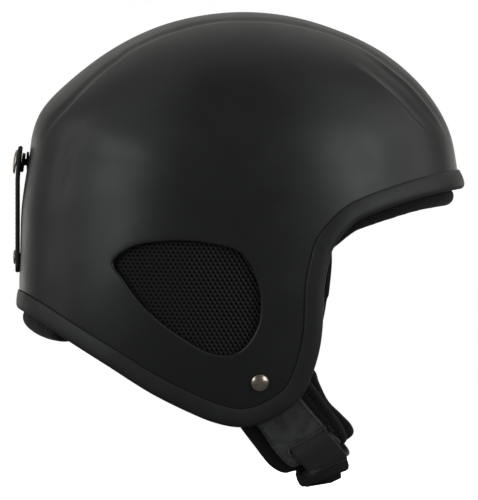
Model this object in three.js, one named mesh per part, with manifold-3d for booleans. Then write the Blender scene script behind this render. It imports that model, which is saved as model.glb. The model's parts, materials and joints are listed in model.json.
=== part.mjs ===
// Open-face ski helmet with hard ears, a goggle-strap retainer at the back and a padded chin strap.
// Millimetres, +X forward, +Y to the wearer's left, +Z up. The origin is where the crown of the head seats.
import * as THREE from "three";
import { mergeVertices } from "three/addons/utils/BufferGeometryUtils.js";
import Module from "manifold-3d";

const wasm = await Module();
wasm.setup();

// ---- driving dimensions -------------------------------------------------------------------------

const CENTRE = new THREE.Vector3(-12.2, 0, -71.4); // middle of the dome
const HALF_WIDTH = 112; // of the dome, at its widest
const ROUNDNESS = 2.3; // exponent of the dome's cross-sections
const SHELL = 3; // thickness of the hard shell
const LINER_TOP = 5; // depth of the foam liner's outer face under the shell's outer face
const LINER_BOTTOM = 25; // depth of the foam liner's inner face
const PAD_TOP = 26.3; // depth of a comfort pad's back
const PAD_BOTTOM = 31; // depth of a comfort pad's face, where the head touches it
const GAP = 0.3; // between pieces that touch
const TRIM_WALL = 2.3; // thickness of the rubber edge trim's outer wall
const TRIM_LIP = 1.5; // thickness of its inner wall
const TRIM_BASE = 2.8; // how far its outside stands past the shell's edge
const TRIM_COVER = 9; // how far the trim reaches over the shell
const TRIM_EASE = 1.3; // room between the shell's inner face and the trim's inner wall
const TRIM_FIT = 0.5; // room between the shell's outer face and the trim's outer wall
const RIVET = { x: 12, z: -194.5 }; // the chin strap's pivot
const RIVET_SHANK = 2.4;
const RIVET_HOLE = 2.7;
const RIVET_HEAD = 5.6;
const STRAP_WIDTH = 25;
const STRAP_THICK = 1.5;
const LEFT_STRAP_TILT = 2.5; // degrees that the left strap hangs further forward
const RETAINER_WIDTH = 20;
const RETAINER_THICK = 2.4;
const RETAINER_X = -135.65; // middle of the retainer strap's thickness
const RETAINER_TOP = -50.6;
const RETAINER_FOLD = -108; // height of the line that the retainer strap folds at
const RETAINER_BOTTOM = -127.8;
const SNAP_Z = -60.4;
const RETAINER_RIVET_Z = -118.3;

// The shell's outline in its middle plane as x, z. Below the edge it only sets how wide the sides are.
const OUTLINE = [
  [1.8, 31.1], [-36.6, 26.2], [-67, 14.6], [-95.8, -4.3], [-120.8, -28.7], [-126.8, -44], [-128.3, -56],
  [-130.6, -69], [-133.2, -89], [-133.9, -114], [-134.3, -150], [-128, -200], [-105, -250], [-60, -290],
  [-12, -300], [40, -288], [85, -250], [118, -190], [134, -130], [136.3, -92], [132.6, -65.3],
  [127.5, -40.9], [112.9, -16.5], [84.8, 7.9], [40.3, 26.2],
];
const NOSE_ANGLE = -1; // degrees above the horizontal at which the shell ends in front
const NAPE_ANGLE = -148.3; // and at the back
// The shell's lower edge seen from the side, between its two ends.
const EDGE = [
  [122, -76.4], [108.5, -79.9], [85, -87.7], [69.2, -94.8], [59.4, -104.4], [53.6, -113], [51.2, -121.8],
  [48.5, -135.4], [47.2, -162.2], [45.4, -174.6], [42, -186.5], [37.3, -198], [32.3, -204.6], [27, -209],
  [20, -213.2], [11.4, -217], [-0.5, -218.8], [-14.7, -216.1], [-29.8, -210], [-53, -198.4], [-79, -182],
  [-103.3, -166.7], [-120, -155.5],
];
// The foam liner's lower edge: it ends above the ears.
const LINER_NOSE_ANGLE = 3.5;
const LINER_NAPE_ANGLE = -156;
const LINER_EDGE = [
  [110, -65], [84, -73], [62, -82], [44, -93], [20, -98], [-35, -97], [-72, -104], [-90, -124], [-104, -133],
];
const EAR_OPENING = [
  [-77.2, -122], [-69.8, -114.7], [-59.8, -110.8], [-34.8, -108.6], [-15.4, -110.8], [-1.3, -115.1],
  [5.5, -122], [11, -135.3], [12.8, -148.5], [11, -160.2], [5.5, -170.2], [-1.3, -176.2], [-7.6, -177.8],
  [-19.3, -176.2], [-34.8, -167.6], [-50.4, -156.2], [-62.2, -144.6], [-71.4, -131.5],
];
const EAR_CENTRE = [-28, -143];
const EAR_PAD = [
  [65, -117], [65.5, -128], [62.5, -150], [59.5, -162], [51, -182], [34, -203], [8, -212], [-16, -209],
  [-42, -198], [-64, -184], [-84, -170], [-92, -148], [-86, -122], [-70, -108], [-35, -102], [10, -103],
  [42, -104],
];
const STRAP_PAD = [
  [-5, -214.5], [-0.3, -221.1], [9.2, -233.6], [17.7, -244.4], [23.5, -248.4], [27.8, -249.5], [31.4, -248.6],
  [41, -246.2], [60, -233.6], [67.9, -228.5], [69.5, -225.3], [67.9, -222.2], [62.6, -215.8], [53.7, -206.8],
  [43.1, -193.6], [38, -187.5],
];
const STRAP_PATCH = [
  [5.5, -212.5], [11.9, -221.6], [19.3, -232.7], [25.6, -240.2], [29.9, -243.6], [32.9, -243.8],
  [60.5, -229.1], [54.7, -223.3], [46.8, -214.7], [37.8, -204.2], [31.5, -196.5],
];
const SLIT = { x: 41.5, z: -228.5, angle: 29.4, length: 29, width: 9 };
const BUCKLE = { x: 50, z: -247.8, angle: 21, halfWidth: 16.5, halfThick: 5.5 };
const BUCKLE_Y = { femaleEnd: -58, mouth: -32, maleFront: -31.6, maleEnd: -14, prongTip: -48 };
const WEB_LEVEL = -3.2; // the webbing's level in the buckle's thickness
const PRONG = { inner: 9.5, outer: 12.6, low: -0.8, high: 3.2 };
// The hump under the male half that the webbing's adjusting bar sits on, across and down.
const BUCKLE_HUMP = [[-13.3, -3], [-13, -6.4], [2.2, -9.5], [9.1, -8.9], [10.9, -3]];

// ---- the dome ------------------------------------------------------------------------------------

// The outline's radius about CENTRE at each whole degree, smoothed over a few degrees.
const outlineCurve = new THREE.CatmullRomCurve3(
  OUTLINE.map(([x, z]) => new THREE.Vector3(x, 0, z)), true, "centripetal");
const DEGREE = Math.PI / 180;
const radii = outlineRadii();

function outlineRadii() {
  const samples = outlineCurve.getPoints(2400).map((p) => {
    const arm = p.sub(CENTRE);
    return [((Math.atan2(arm.z, arm.x) / DEGREE) + 360) % 360, arm.length()];
  });
  samples.sort((a, b) => a[0] - b[0]);
  const table = [];
  for (let degree = 0, k = 0; degree < 360; degree++) {
    while (k < samples.length - 1 && samples[k][0] < degree) k++;
    table.push(samples[k][1]);
  }
  return table.map((_, degree) => {
    const near = [-3, -2, -1, 0, 1, 2, 3].map((way) => [way, Math.exp(-way * way / 4)]);
    const total = near.reduce((sum, [, weight]) => sum + weight, 0);
    return near.reduce((sum, [way, weight]) => sum + weight * table[(degree + way + 360) % 360], 0) / total;
  });
}

function outlineRadius(x, z) {
  const degrees = (Math.atan2(z, x) / DEGREE + 360) % 360;
  const low = Math.floor(degrees);
  const share = degrees - low;
  return radii[low % 360] * (1 - share) + radii[(low + 1) % 360] * share;
}

// 1 on the dome's outer face, less inside.
function domeLevel(point) {
  const arm = point.clone().sub(CENTRE);
  const side = Math.pow(Math.abs(arm.y) / HALF_WIDTH, ROUNDNESS);
  const profile = Math.pow(Math.hypot(arm.x, arm.z) / outlineRadius(arm.x, arm.z), ROUNDNESS);
  return Math.pow(side + profile, 1 / ROUNDNESS);
}

// The point of the outer face in the direction of a point.
function ontoDome(point) {
  return point.clone().sub(CENTRE).divideScalar(domeLevel(point)).add(CENTRE);
}

function domeNormal(point) {
  const step = 1.5;
  const slope = ["x", "y", "z"].map((axis) => {
    const ahead = point.clone();
    const behind = point.clone();
    ahead[axis] += step;
    behind[axis] -= step;
    return domeLevel(ahead) - domeLevel(behind);
  });
  return new THREE.Vector3(...slope).normalize();
}

// The point at a depth under the outer face, beneath the point of the face in the given direction.
function underDome(point, depth) {
  const face = ontoDome(point);
  return face.addScaledVector(domeNormal(face), -depth);
}

// The outer face's point that is seen from the side at x, z. side is 1 on the left, -1 on the right.
function sidePoint(x, z, side) {
  const profile = Math.pow(Math.hypot(x - CENTRE.x, z - CENTRE.z)
    / outlineRadius(x - CENTRE.x, z - CENTRE.z), ROUNDNESS);
  const y = HALF_WIDTH * Math.pow(Math.max(0, 1 - profile), 1 / ROUNDNESS);
  return new THREE.Vector3(x, side * y, z);
}

function outlinePoint(degrees) {
  const x = Math.cos(degrees * DEGREE);
  const z = Math.sin(degrees * DEGREE);
  const radius = outlineRadius(x, z);
  return [CENTRE.x + x * radius, CENTRE.z + z * radius];
}

// A closed loop of evenly spaced points along a lower edge: nose, right side, nape, left side.
function edgeLoop(points, noseAngle, napeAngle, count) {
  const all = [outlinePoint(noseAngle), ...points, outlinePoint(napeAngle)];
  const curve = new THREE.CatmullRomCurve3(
    all.map(([x, z]) => new THREE.Vector3(x, 0, z)), false, "centripetal");
  const fine = [];
  const steps = 3000;
  for (let i = 0; i <= steps; i++) {
    const share = (1 - Math.cos(Math.PI * i / steps)) / 2;
    const p = curve.getPoint(share);
    fine.push(i === 0 || i === steps ? p : sidePoint(p.x, p.z, -1));
  }
  const right = resample(fine, count / 2);
  const left = right.slice(1, -1).reverse().map((p) => new THREE.Vector3(p.x, -p.y, p.z));
  return [...right, ...left];
}

function resample(points, count) {
  const along = [0];
  for (let i = 1; i < points.length; i++) along.push(along[i - 1] + points[i].distanceTo(points[i - 1]));
  const result = [];
  for (let n = 0, k = 0; n <= count; n++) {
    const target = along[along.length - 1] * n / count;
    while (k < points.length - 2 && along[k + 1] < target) k++;
    const share = (target - along[k]) / (along[k + 1] - along[k]);
    result.push(points[k].clone().lerp(points[k + 1], Math.min(1, share)));
  }
  return result;
}

// ---- making closed meshes ------------------------------------------------------------------------

function closedMesh(points, triangles) {
  const positions = new Float32Array(points.flatMap((p) => [p.x, p.y, p.z]));
  let volume = 0;
  for (const [a, b, c] of triangles) {
    volume += points[a].dot(points[b].clone().cross(points[c]));
  }
  const order = volume < 0 ? triangles.map(([a, b, c]) => [a, c, b]) : triangles;
  const geometry = new THREE.BufferGeometry();
  geometry.setAttribute("position", new THREE.BufferAttribute(positions, 3));
  geometry.setIndex(order.flat());
  geometry.computeVertexNormals();
  return geometry;
}

// A piece of the dome between two depths, from a middle point out to a closed loop of points.
function domePatch(loop, middle, outer, inner, rings) {
  const count = loop.length;
  const points = [];
  const triangles = [];
  const heart = middle.clone().sub(CENTRE).normalize();
  for (const depth of [outer, inner]) {
    points.push(underDome(middle, depth));
    for (const share of rings) {
      for (const end of loop) {
        const arm = end.clone().sub(CENTRE).normalize();
        const angle = heart.angleTo(arm);
        const direction = heart.clone().multiplyScalar(Math.sin((1 - share) * angle))
          .addScaledVector(arm, Math.sin(share * angle));
        points.push(underDome(CENTRE.clone().add(direction), depth));
      }
    }
  }
  const layer = 1 + rings.length * count;
  const at = (face, ring, i) => face * layer + 1 + ring * count + (i % count);
  for (const face of [0, 1]) {
    const add = (a, b, c) => triangles.push(face ? [a, c, b] : [a, b, c]);
    for (let i = 0; i < count; i++) {
      add(face * layer, at(face, 0, i), at(face, 0, i + 1));
      for (let ring = 1; ring < rings.length; ring++) {
        add(at(face, ring - 1, i), at(face, ring, i), at(face, ring, i + 1));
        add(at(face, ring - 1, i), at(face, ring, i + 1), at(face, ring - 1, i + 1));
      }
    }
  }
  const last = rings.length - 1;
  for (let i = 0; i < count; i++) {
    triangles.push([at(0, last, i), at(1, last, i), at(1, last, i + 1)]);
    triangles.push([at(0, last, i), at(1, last, i + 1), at(0, last, i + 1)]);
  }
  return closedMesh(points, triangles);
}

function evenRings(count) {
  return Array.from({ length: count }, (_, i) => (i + 1) / count);
}

// Evenly spaced rings, and one close to the edge so that the shell lies true under its trim.
function edgedRings(count, nearEdge) {
  return [...evenRings(count).map((share) => share * nearEdge), 1];
}

// Joins rings of points into a closed body. The rings close on themselves, or a cap ends each side.
function loft(sections, closed) {
  const count = sections[0].length;
  const points = sections.flat();
  const triangles = [];
  const rows = closed ? sections.length : sections.length - 1;
  for (let row = 0; row < rows; row++) {
    const next = (row + 1) % sections.length;
    for (let i = 0; i < count; i++) {
      const j = (i + 1) % count;
      triangles.push([row * count + i, next * count + i, next * count + j]);
      triangles.push([row * count + i, next * count + j, row * count + j]);
    }
  }
  return { points, triangles, count, rows: sections.length };
}

function closedLoft(sections) {
  const { points, triangles } = loft(sections, true);
  return closedMesh(points, triangles);
}

// flat is the section's outline as Vector2, used to fill the two ends.
function cappedLoft(sections, flat) {
  const { points, triangles, count, rows } = loft(sections, false);
  const clockwise = THREE.ShapeUtils.isClockWise(flat);
  for (const [a, b, c] of THREE.ShapeUtils.triangulateShape(clockwise ? [...flat].reverse() : flat, [])) {
    const [p, q, r] = clockwise ? [a, b, c].map((i) => count - 1 - i) : [a, b, c];
    const end = (rows - 1) * count;
    if (clockwise) {
      triangles.push([p, q, r], [end + r, end + q, end + p]);
    } else {
      triangles.push([r, q, p], [end + p, end + q, end + r]);
    }
  }
  return closedMesh(points, oriented(triangles));
}

// Turns every triangle the same way round as its neighbours.
function oriented(triangles) {
  const byEdge = new Map();
  const key = (a, b) => Math.min(a, b) + "," + Math.max(a, b);
  triangles.forEach((t, n) => {
    for (let i = 0; i < 3; i++) {
      const name = key(t[i], t[(i + 1) % 3]);
      byEdge.set(name, [...(byEdge.get(name) ?? []), n]);
    }
  });
  const turned = new Array(triangles.length).fill(null);
  const queue = [0];
  turned[0] = triangles[0];
  while (queue.length) {
    const n = queue.pop();
    const t = turned[n];
    for (let i = 0; i < 3; i++) {
      const [a, b] = [t[i], t[(i + 1) % 3]];
      for (const other of byEdge.get(key(a, b))) {
        if (turned[other]) continue;
        const o = triangles[other];
        const same = [0, 1, 2].some((k) => o[k] === a && o[(k + 1) % 3] === b);
        turned[other] = same ? [o[0], o[2], o[1]] : o;
        queue.push(other);
      }
    }
  }
  return turned;
}

// A section swept along a lower edge. Its points are [depth under the outer face, way past the edge].
function edgeSweep(loop, stations, section, closed, scaleAt = () => 1) {
  const count = loop.length;
  const rings = stations.map((index, n) => {
    const here = loop[index];
    const along = loop[(index + 1) % count].clone().sub(loop[(index + count - 1) % count]).normalize();
    const normal = domeNormal(here);
    const past = normal.clone().cross(along).normalize();
    if (past.dot(here.clone().sub(CENTRE)) < 0 && past.z > 0) past.negate();
    const scale = scaleAt(n / (stations.length - 1));
    return section(scale).map(([depth, way]) => {
      const face = ontoDome(here.clone().addScaledVector(past, way));
      return face.addScaledVector(domeNormal(face), -depth);
    });
  });
  const flat = section(1).map(([depth, way]) => new THREE.Vector2(depth, way));
  return closed ? closedLoft(rings) : cappedLoft(rings, flat);
}

// A slab parallel to a plane, with an outline given as seen from the side.
function slab(outline, plane, near, far) {
  const layers = [near, far].map((lift) => outline.map(([x, z]) => plane(x, z, lift)));
  const flat = outline.map(([x, z]) => new THREE.Vector2(x, z));
  return cappedLoft(layers, flat);
}

// A flat strap through a list of { middle, across } stations.
function ribbon(stations, width, thick) {
  const rings = stations.map(({ middle, across }, n) => {
    const ahead = stations[Math.min(n + 1, stations.length - 1)].middle;
    const behind = stations[Math.max(n - 1, 0)].middle;
    const along = ahead.clone().sub(behind).normalize();
    const wide = across.clone().addScaledVector(along, -across.dot(along)).normalize();
    const up = along.clone().cross(wide);
    return [[1, 1], [-1, 1], [-1, -1], [1, -1]].map(([w, t]) =>
      middle.clone().addScaledVector(wide, w * width / 2).addScaledVector(up, t * thick / 2));
  });
  const flat = [[1, 1], [-1, 1], [-1, -1], [1, -1]].map(([w, t]) => new THREE.Vector2(w, t));
  return cappedLoft(rings, flat);
}

function mirrored(geometry) {
  const copy = geometry.clone();
  const place = copy.getAttribute("position");
  for (let i = 0; i < place.count; i++) place.setY(i, -place.getY(i));
  const index = copy.index ? Array.from(copy.index.array) : Array.from({ length: place.count }, (_, i) => i);
  for (let i = 0; i < index.length; i += 3) [index[i + 1], index[i + 2]] = [index[i + 2], index[i + 1]];
  copy.setIndex(index);
  copy.computeVertexNormals();
  return copy;
}

// ---- cutting and joining -------------------------------------------------------------------------

function toSolid(geometry) {
  const bare = geometry.clone();
  for (const name of Object.keys(bare.attributes)) if (name !== "position") bare.deleteAttribute(name);
  const merged = mergeVertices(bare, 1e-4);
  return new wasm.Manifold(new wasm.Mesh({
    numProp: 3,
    vertProperties: merged.getAttribute("position").array,
    triVerts: new Uint32Array(merged.index.array),
  }));
}

function fromSolid(solid) {
  const mesh = solid.getMesh();
  const geometry = new THREE.BufferGeometry();
  geometry.setAttribute("position", new THREE.BufferAttribute(new Float32Array(mesh.vertProperties), 3));
  geometry.setIndex(Array.from(mesh.triVerts));
  geometry.computeVertexNormals();
  return geometry;
}

function cut(geometry, ...tools) {
  return fromSolid(tools.reduce((left, tool) => left.subtract(toSolid(tool)), toSolid(geometry)));
}

function join(geometry, ...others) {
  return fromSolid(others.reduce((whole, other) => whole.add(toSolid(other)), toSolid(geometry)));
}

function box(x0, x1, y0, y1, z0, z1) {
  return new THREE.BoxGeometry(x1 - x0, y1 - y0, z1 - z0)
    .translate((x0 + x1) / 2, (y0 + y1) / 2, (z0 + z1) / 2);
}

// A turned piece about a line from a point along a direction; profile is [radius, height] pairs.
function turned(profile, from, direction, sides = 16) {
  const geometry = new THREE.LatheGeometry(profile.map(([r, h]) => new THREE.Vector2(r, h)), sides);
  const turn = new THREE.Quaternion().setFromUnitVectors(new THREE.Vector3(0, 1, 0), direction);
  return geometry.applyQuaternion(turn).translate(from.x, from.y, from.z);
}

function rod(radius, low, high, from, direction, sides = 16) {
  return turned([[0, low], [radius, low], [radius, high], [0, high]], from, direction, sides);
}

function ringProfile(inner, outer, low, high) {
  return [[inner, low], [outer, low], [outer, high], [inner, high], [inner, low]];
}

// ---- materials -----------------------------------------------------------------------------------

const finish = (name, color, roughness, metalness = 0) =>
  new THREE.MeshStandardMaterial({ name, color, roughness, metalness });
const matteShell = finish("matte_shell", 0x2b2c2d, 0.45);
const rubber = finish("rubber", 0x1c1c1c, 0.6);
const foam = finish("foam", 0x151515, 0.9);
const fabric = finish("fabric", 0x191919, 0.95);
const spacerMesh = finish("spacer_mesh", 0x181a18, 0.85);
const suede = finish("suede", 0x383838, 1);
const webbing = finish("webbing", 0x1b1b1b, 0.9);
const plastic = finish("buckle_plastic", 0x141414, 0.35);
const nickel = finish("nickel", 0x8c8478, 0.3, 1);
const vinyl = finish("vinyl", 0x161616, 0.6);

const helmet = new THREE.Group();

function addNode(parent, name, geometry, material) {
  const mesh = new THREE.Mesh(geometry, material.clone());
  mesh.name = name;
  parent.add(mesh);
  return mesh;
}

function addPair(parents, name, geometry, material) {
  addNode(parents[0], name + "_right", geometry, material);
  addNode(parents[1], name + "_left", mirrored(geometry), material);
}

// ---- hard shell, liner and trim ------------------------------------------------------------------

const EDGE_STEPS = 80;
const crown = new THREE.Vector3(CENTRE.x, 0, CENTRE.z + HALF_WIDTH);
const shellPole = crown.clone().setX(CENTRE.x - 0.35 * HALF_WIDTH);
const shellEdge = edgeLoop(EDGE, NOSE_ANGLE, NAPE_ANGLE, EDGE_STEPS);
const linerEdge = edgeLoop(LINER_EDGE, LINER_NOSE_ANGLE, LINER_NAPE_ANGLE, 52);
const NAPE_STATION = EDGE_STEPS / 2;
const rivetSpot = sidePoint(RIVET.x, RIVET.z, -1);
const rivetAxis = domeNormal(rivetSpot);
const leftRivetSpot = rivetSpot.clone().setY(-rivetSpot.y);
const leftRivetAxis = rivetAxis.clone().setY(-rivetAxis.y);
const back = new THREE.Vector3(-1, 0, 0);
const retainerPoint = (z) => new THREE.Vector3(RETAINER_X, 0, z);

function earCutter() {
  const shape = new THREE.Shape(EAR_OPENING.map(([x, z]) => new THREE.Vector2(x, z)));
  const depth = 3 * HALF_WIDTH;
  return new THREE.ExtrudeGeometry(shape, { depth, bevelEnabled: false, curveSegments: 4 })
    .translate(0, 0, -depth / 2).rotateX(Math.PI / 2);
}

function outerShell() {
  const dome = domePatch(shellEdge, shellPole, 0, SHELL, edgedRings(8, 0.9));
  return cut(dome, earCutter(),
    rod(RIVET_HOLE, -8, 8, rivetSpot, rivetAxis, 10),
    rod(RIVET_HOLE, -8, 8, leftRivetSpot, leftRivetAxis, 10),
    rod(RIVET_HOLE, -12, 8, retainerPoint(SNAP_Z), back, 10),
    rod(RIVET_HOLE, -12, 8, retainerPoint(RETAINER_RIVET_Z), back, 10));
}

function trimSection() {
  const inside = SHELL + TRIM_EASE;
  return [
    [-TRIM_FIT - TRIM_WALL, -TRIM_COVER + 1.5], [-TRIM_FIT, -TRIM_COVER], [-TRIM_FIT, 3 * GAP],
    [inside, 3 * GAP], [inside, -TRIM_COVER + 1], [inside + TRIM_LIP, -TRIM_COVER + 1],
    [inside + TRIM_LIP, TRIM_BASE], [-TRIM_FIT - TRIM_WALL, TRIM_BASE],
  ];
}

const pinWell = (z) => rod(9, -16, 4, retainerPoint(z), back, 12);
const liner = domePatch(linerEdge, crown, LINER_TOP, LINER_BOTTOM, evenRings(8));
addNode(helmet, "outer_shell", outerShell(), matteShell);
addNode(helmet, "eps_liner", cut(liner, pinWell(SNAP_Z), pinWell(RETAINER_RIVET_Z)), foam);
addNode(helmet, "edge_trim", edgeSweep(shellEdge, shellEdge.map((_, i) => i), trimSection, true), rubber);

// ---- ear openings and pads -----------------------------------------------------------------------

const fromSide = (outline, side = -1) => outline.map(([x, z]) => sidePoint(x, z, side));

function widened(outline, [cx, cz], way) {
  return outline.map(([x, z]) => {
    const length = Math.hypot(x - cx, z - cz);
    return [cx + (x - cx) * (1 + way / length), cz + (z - cz) * (1 + way / length)];
  });
}

const MESH_MARGIN = 6;
const MESH_TOP = SHELL + 1.2;
const earMesh = domePatch(fromSide(widened(EAR_OPENING, EAR_CENTRE, MESH_MARGIN)),
  sidePoint(...EAR_CENTRE, -1), MESH_TOP, MESH_TOP + 1.4, evenRings(4));
addPair([helmet, helmet], "ear_mesh", earMesh, spacerMesh);

const EAR_PAD_TOP = 19.6;
const earPad = domePatch(fromSide(EAR_PAD), sidePoint(...EAR_CENTRE, -1), EAR_PAD_TOP, 31, evenRings(3));
addPair([helmet, helmet], "ear_pad", earPad, fabric);

const sidePad = domePatch(fromSide([[58, -58], [40, -88], [0, -92], [-40, -92], [-70, -84], [-76, -58],
  [-50, -44], [20, -44]]), sidePoint(-8, -68, -1), PAD_TOP, PAD_BOTTOM, evenRings(2));
addPair([helmet, helmet], "side_pad", sidePad, fabric);

function oval(halfX, halfY, height, count) {
  return Array.from({ length: count }, (_, i) => {
    const angle = 2 * Math.PI * i / count;
    return new THREE.Vector3(CENTRE.x + halfX * Math.cos(angle), halfY * Math.sin(angle), CENTRE.z + height);
  });
}

addNode(helmet, "crown_pad", domePatch(oval(52, 30, 100, 16), crown, PAD_TOP, PAD_BOTTOM, evenRings(2)), fabric);
const rearLoop = Array.from({ length: 14 }, (_, i) => {
  const angle = 2 * Math.PI * i / 14;
  return new THREE.Vector3(CENTRE.x - 100, 44 * Math.cos(angle), CENTRE.z - 22 + 26 * Math.sin(angle));
});
addNode(helmet, "rear_pad", domePatch(rearLoop, new THREE.Vector3(-112.2, 0, CENTRE.z - 22),
  PAD_TOP, PAD_BOTTOM, evenRings(2)), fabric);

const BEHIND_TRIM = SHELL + TRIM_EASE + TRIM_LIP + 0.9;
// The brow pad is an L in section: it lines the front of the foam and turns out under its edge.
function browSection(scale) {
  return [[BEHIND_TRIM, -9], [BEHIND_TRIM, 3.4], [5, 4.4], [5, 7], [8.5, 10.4], [25, 10.4], [30, 6],
    [PAD_BOTTOM, -24], [PAD_TOP, -24], [PAD_TOP, -9]]
    .map(([depth, way]) => [depth, way > 4 ? 4 + (way - 4) * scale : way]);
}

function stationsAbout(middle, reach) {
  return Array.from({ length: 2 * reach + 1 }, (_, i) => (middle - reach + i + EDGE_STEPS) % EDGE_STEPS);
}

const BROW_REACH = 12;
const NAPE_REACH = 6;
const ends = (share) => 1 - 0.4 * Math.pow(Math.abs(2 * share - 1), 3);
const browEnds = (share) => 1 - 0.9 * Math.pow(Math.abs(2 * share - 1), 6);
addNode(helmet, "brow_pad",
  edgeSweep(shellEdge, stationsAbout(0, BROW_REACH), browSection, false, browEnds), fabric);

function napeSection(scale) {
  return [[BEHIND_TRIM, -9], [BEHIND_TRIM, 3.4], [3.4, 4.6], [2.2, 7.5], [3, 11.5], [7, 16.5], [17, 20.5],
    [29, 22], [36, 16], [37.5, 1], [33, -9]]
    .map(([depth, way]) => [6 + (depth - 6) * scale, way > 4 ? 4 + (way - 4) * scale : way]);
}
addNode(helmet, "neck_roll", edgeSweep(shellEdge, stationsAbout(NAPE_STATION, NAPE_REACH), napeSection, false, ends),
  fabric);

// ---- chin strap ----------------------------------------------------------------------------------

// The strap hangs in a plane parallel to the shell above the edge; lift is measured outwards from it.
const STRAP_DEPTH = 14.8;
const planeSpot = sidePoint(13, -212, -1);
const planeNormal = domeNormal(planeSpot);
const planeBase = planeSpot.clone().addScaledVector(planeNormal, -STRAP_DEPTH);

function strapPlane(x, z, lift) {
  const slope = (planeNormal.x * (x - planeBase.x) + planeNormal.z * (z - planeBase.z)) / planeNormal.y;
  return new THREE.Vector3(x, planeBase.y - slope, z).addScaledVector(planeNormal, lift);
}

const PAD_HALF = 3;
const WEB_LIFT = PAD_HALF + GAP + STRAP_THICK / 2;
const PATCH_LOW = PAD_HALF + 2 * GAP + STRAP_THICK;
const PATCH_HIGH = PATCH_LOW + 1;
const OVER_LIFT = PATCH_HIGH + GAP + STRAP_THICK / 2;
const slitAcross = new THREE.Vector3(Math.cos(SLIT.angle * DEGREE), 0, Math.sin(SLIT.angle * DEGREE));
const webAcross = strapPlane(slitAcross.x, slitAcross.z, 0).sub(strapPlane(0, 0, 0)).normalize();
const buckleAcross = new THREE.Vector3(Math.cos(BUCKLE.angle * DEGREE), 0, Math.sin(BUCKLE.angle * DEGREE));
const buckleDown = new THREE.Vector3(buckleAcross.z, 0, -buckleAcross.x);
const buckleSpot = (y, level) =>
  new THREE.Vector3(BUCKLE.x, y, BUCKLE.z).addScaledVector(buckleDown, level);

function slitCutter() {
  const corners = [[-1, -1], [1, -1], [1, 1], [-1, 1]].map(([l, w]) => {
    const along = l * SLIT.length / 2;
    const wide = w * SLIT.width / 2;
    const x = SLIT.x + along * slitAcross.x + wide * slitAcross.z;
    return [x, SLIT.z + along * slitAcross.z - wide * slitAcross.x];
  });
  return slab(corners, strapPlane, PAD_HALF, PATCH_HIGH + 3);
}

// The webbing runs from the rivet under the patch, out through the slit and in under the chin.
function webbingStations(stop) {
  const down = new THREE.Vector2(SLIT.x - RIVET.x, SLIT.z - RIVET.z).normalize();
  const onStrap = (way, lift) => ({
    middle: strapPlane(RIVET.x + down.x * way, RIVET.z + down.y * way, lift),
    across: webAcross,
  });
  const length = Math.hypot(SLIT.x - RIVET.x, SLIT.z - RIVET.z);
  const flat = [onStrap(-8, WEB_LIFT), onStrap(8, WEB_LIFT), onStrap(length - 2.6, WEB_LIFT),
    onStrap(length + 2.6, OVER_LIFT), onStrap(length + 14, OVER_LIFT)];
  const from = flat[flat.length - 1].middle;
  const to = buckleSpot(stop.y, WEB_LEVEL);
  const leave = flat[4].middle.clone().sub(flat[3].middle).normalize();
  const bend = new THREE.CubicBezierCurve3(from, from.clone().addScaledVector(leave, 9),
    to.clone().add(new THREE.Vector3(0, -stop.reach, 0)), to);
  const curve = bend.getPoints(6).slice(1).map((middle, n) => ({
    middle,
    across: webAcross.clone().lerp(buckleAcross, (n + 1) / 6),
  }));
  return [...flat, ...curve];
}

const rivetAxisY = new THREE.Vector3(0, 1, 0);
const rightStrap = new THREE.Group();
const leftStrap = new THREE.Group();
helmet.add(rightStrap, leftStrap);

// The left half is the right one mirrored and turned a little about the rivets.
function leftCopy(geometry) {
  return mirrored(geometry).translate(-RIVET.x, 0, -RIVET.z)
    .rotateY(-LEFT_STRAP_TILT * DEGREE).translate(RIVET.x, 0, RIVET.z);
}

const strapPad = slab(STRAP_PAD, strapPlane, -PAD_HALF, PAD_HALF);
const strapPatch = cut(slab(STRAP_PATCH, strapPlane, PATCH_LOW, PATCH_HIGH), slitCutter());
const EYE = RIVET_SHANK + 1.7; // the webbing turns on the rivet with room to tilt
const rivetEye = rod(EYE, -18, 0, rivetSpot, rivetAxis, 12);
const rightStations = webbingStations({ y: BUCKLE_Y.femaleEnd + 0.6, reach: 8 });
const rightWeb = cut(ribbon(rightStations, STRAP_WIDTH, STRAP_THICK), rivetEye);
addNode(rightStrap, "strap_pad_right", strapPad, fabric);
addNode(rightStrap, "strap_patch_right", strapPatch, suede);
addNode(rightStrap, "strap_webbing_right", rightWeb, webbing);
addNode(leftStrap, "strap_pad_left", leftCopy(strapPad), fabric);
addNode(leftStrap, "strap_patch_left", leftCopy(strapPatch), suede);

// The left webbing follows the left half to its slit and then runs straight through the male buckle half.
function leftWebbing() {
  const turn = new THREE.Quaternion().setFromAxisAngle(rivetAxisY, -LEFT_STRAP_TILT * DEGREE);
  const pivot = new THREE.Vector3(RIVET.x, 0, RIVET.z);
  const moved = (v) => v.clone().setY(-v.y).sub(pivot).applyQuaternion(turn).add(pivot);
  const swung = (v) => v.clone().setY(-v.y).applyQuaternion(turn);
  const flat = webbingStations({ y: -12, reach: 30 }).slice(0, 5)
    .map(({ middle, across }) => ({ middle: moved(middle), across: swung(across) }));
  const from = flat[4].middle;
  const to = buckleSpot(12, WEB_LEVEL);
  const leave = from.clone().sub(flat[3].middle).normalize();
  const bend = new THREE.CubicBezierCurve3(from, from.clone().addScaledVector(leave, 12),
    to.clone().add(new THREE.Vector3(0, 22, 0)), to);
  const curve = bend.getPoints(7).slice(1).map((middle, n) => ({
    middle,
    across: flat[4].across.clone().lerp(buckleAcross, (n + 1) / 7),
  }));
  const end = { middle: buckleSpot(BUCKLE_Y.maleFront + 5, WEB_LEVEL), across: buckleAcross };
  const eye = rod(EYE, -18, 0, leftRivetSpot, leftRivetAxis, 12);
  return cut(ribbon([...flat, ...curve, end], STRAP_WIDTH, STRAP_THICK), eye);
}
addNode(leftStrap, "strap_webbing_left", leftWebbing(), webbing);

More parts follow.
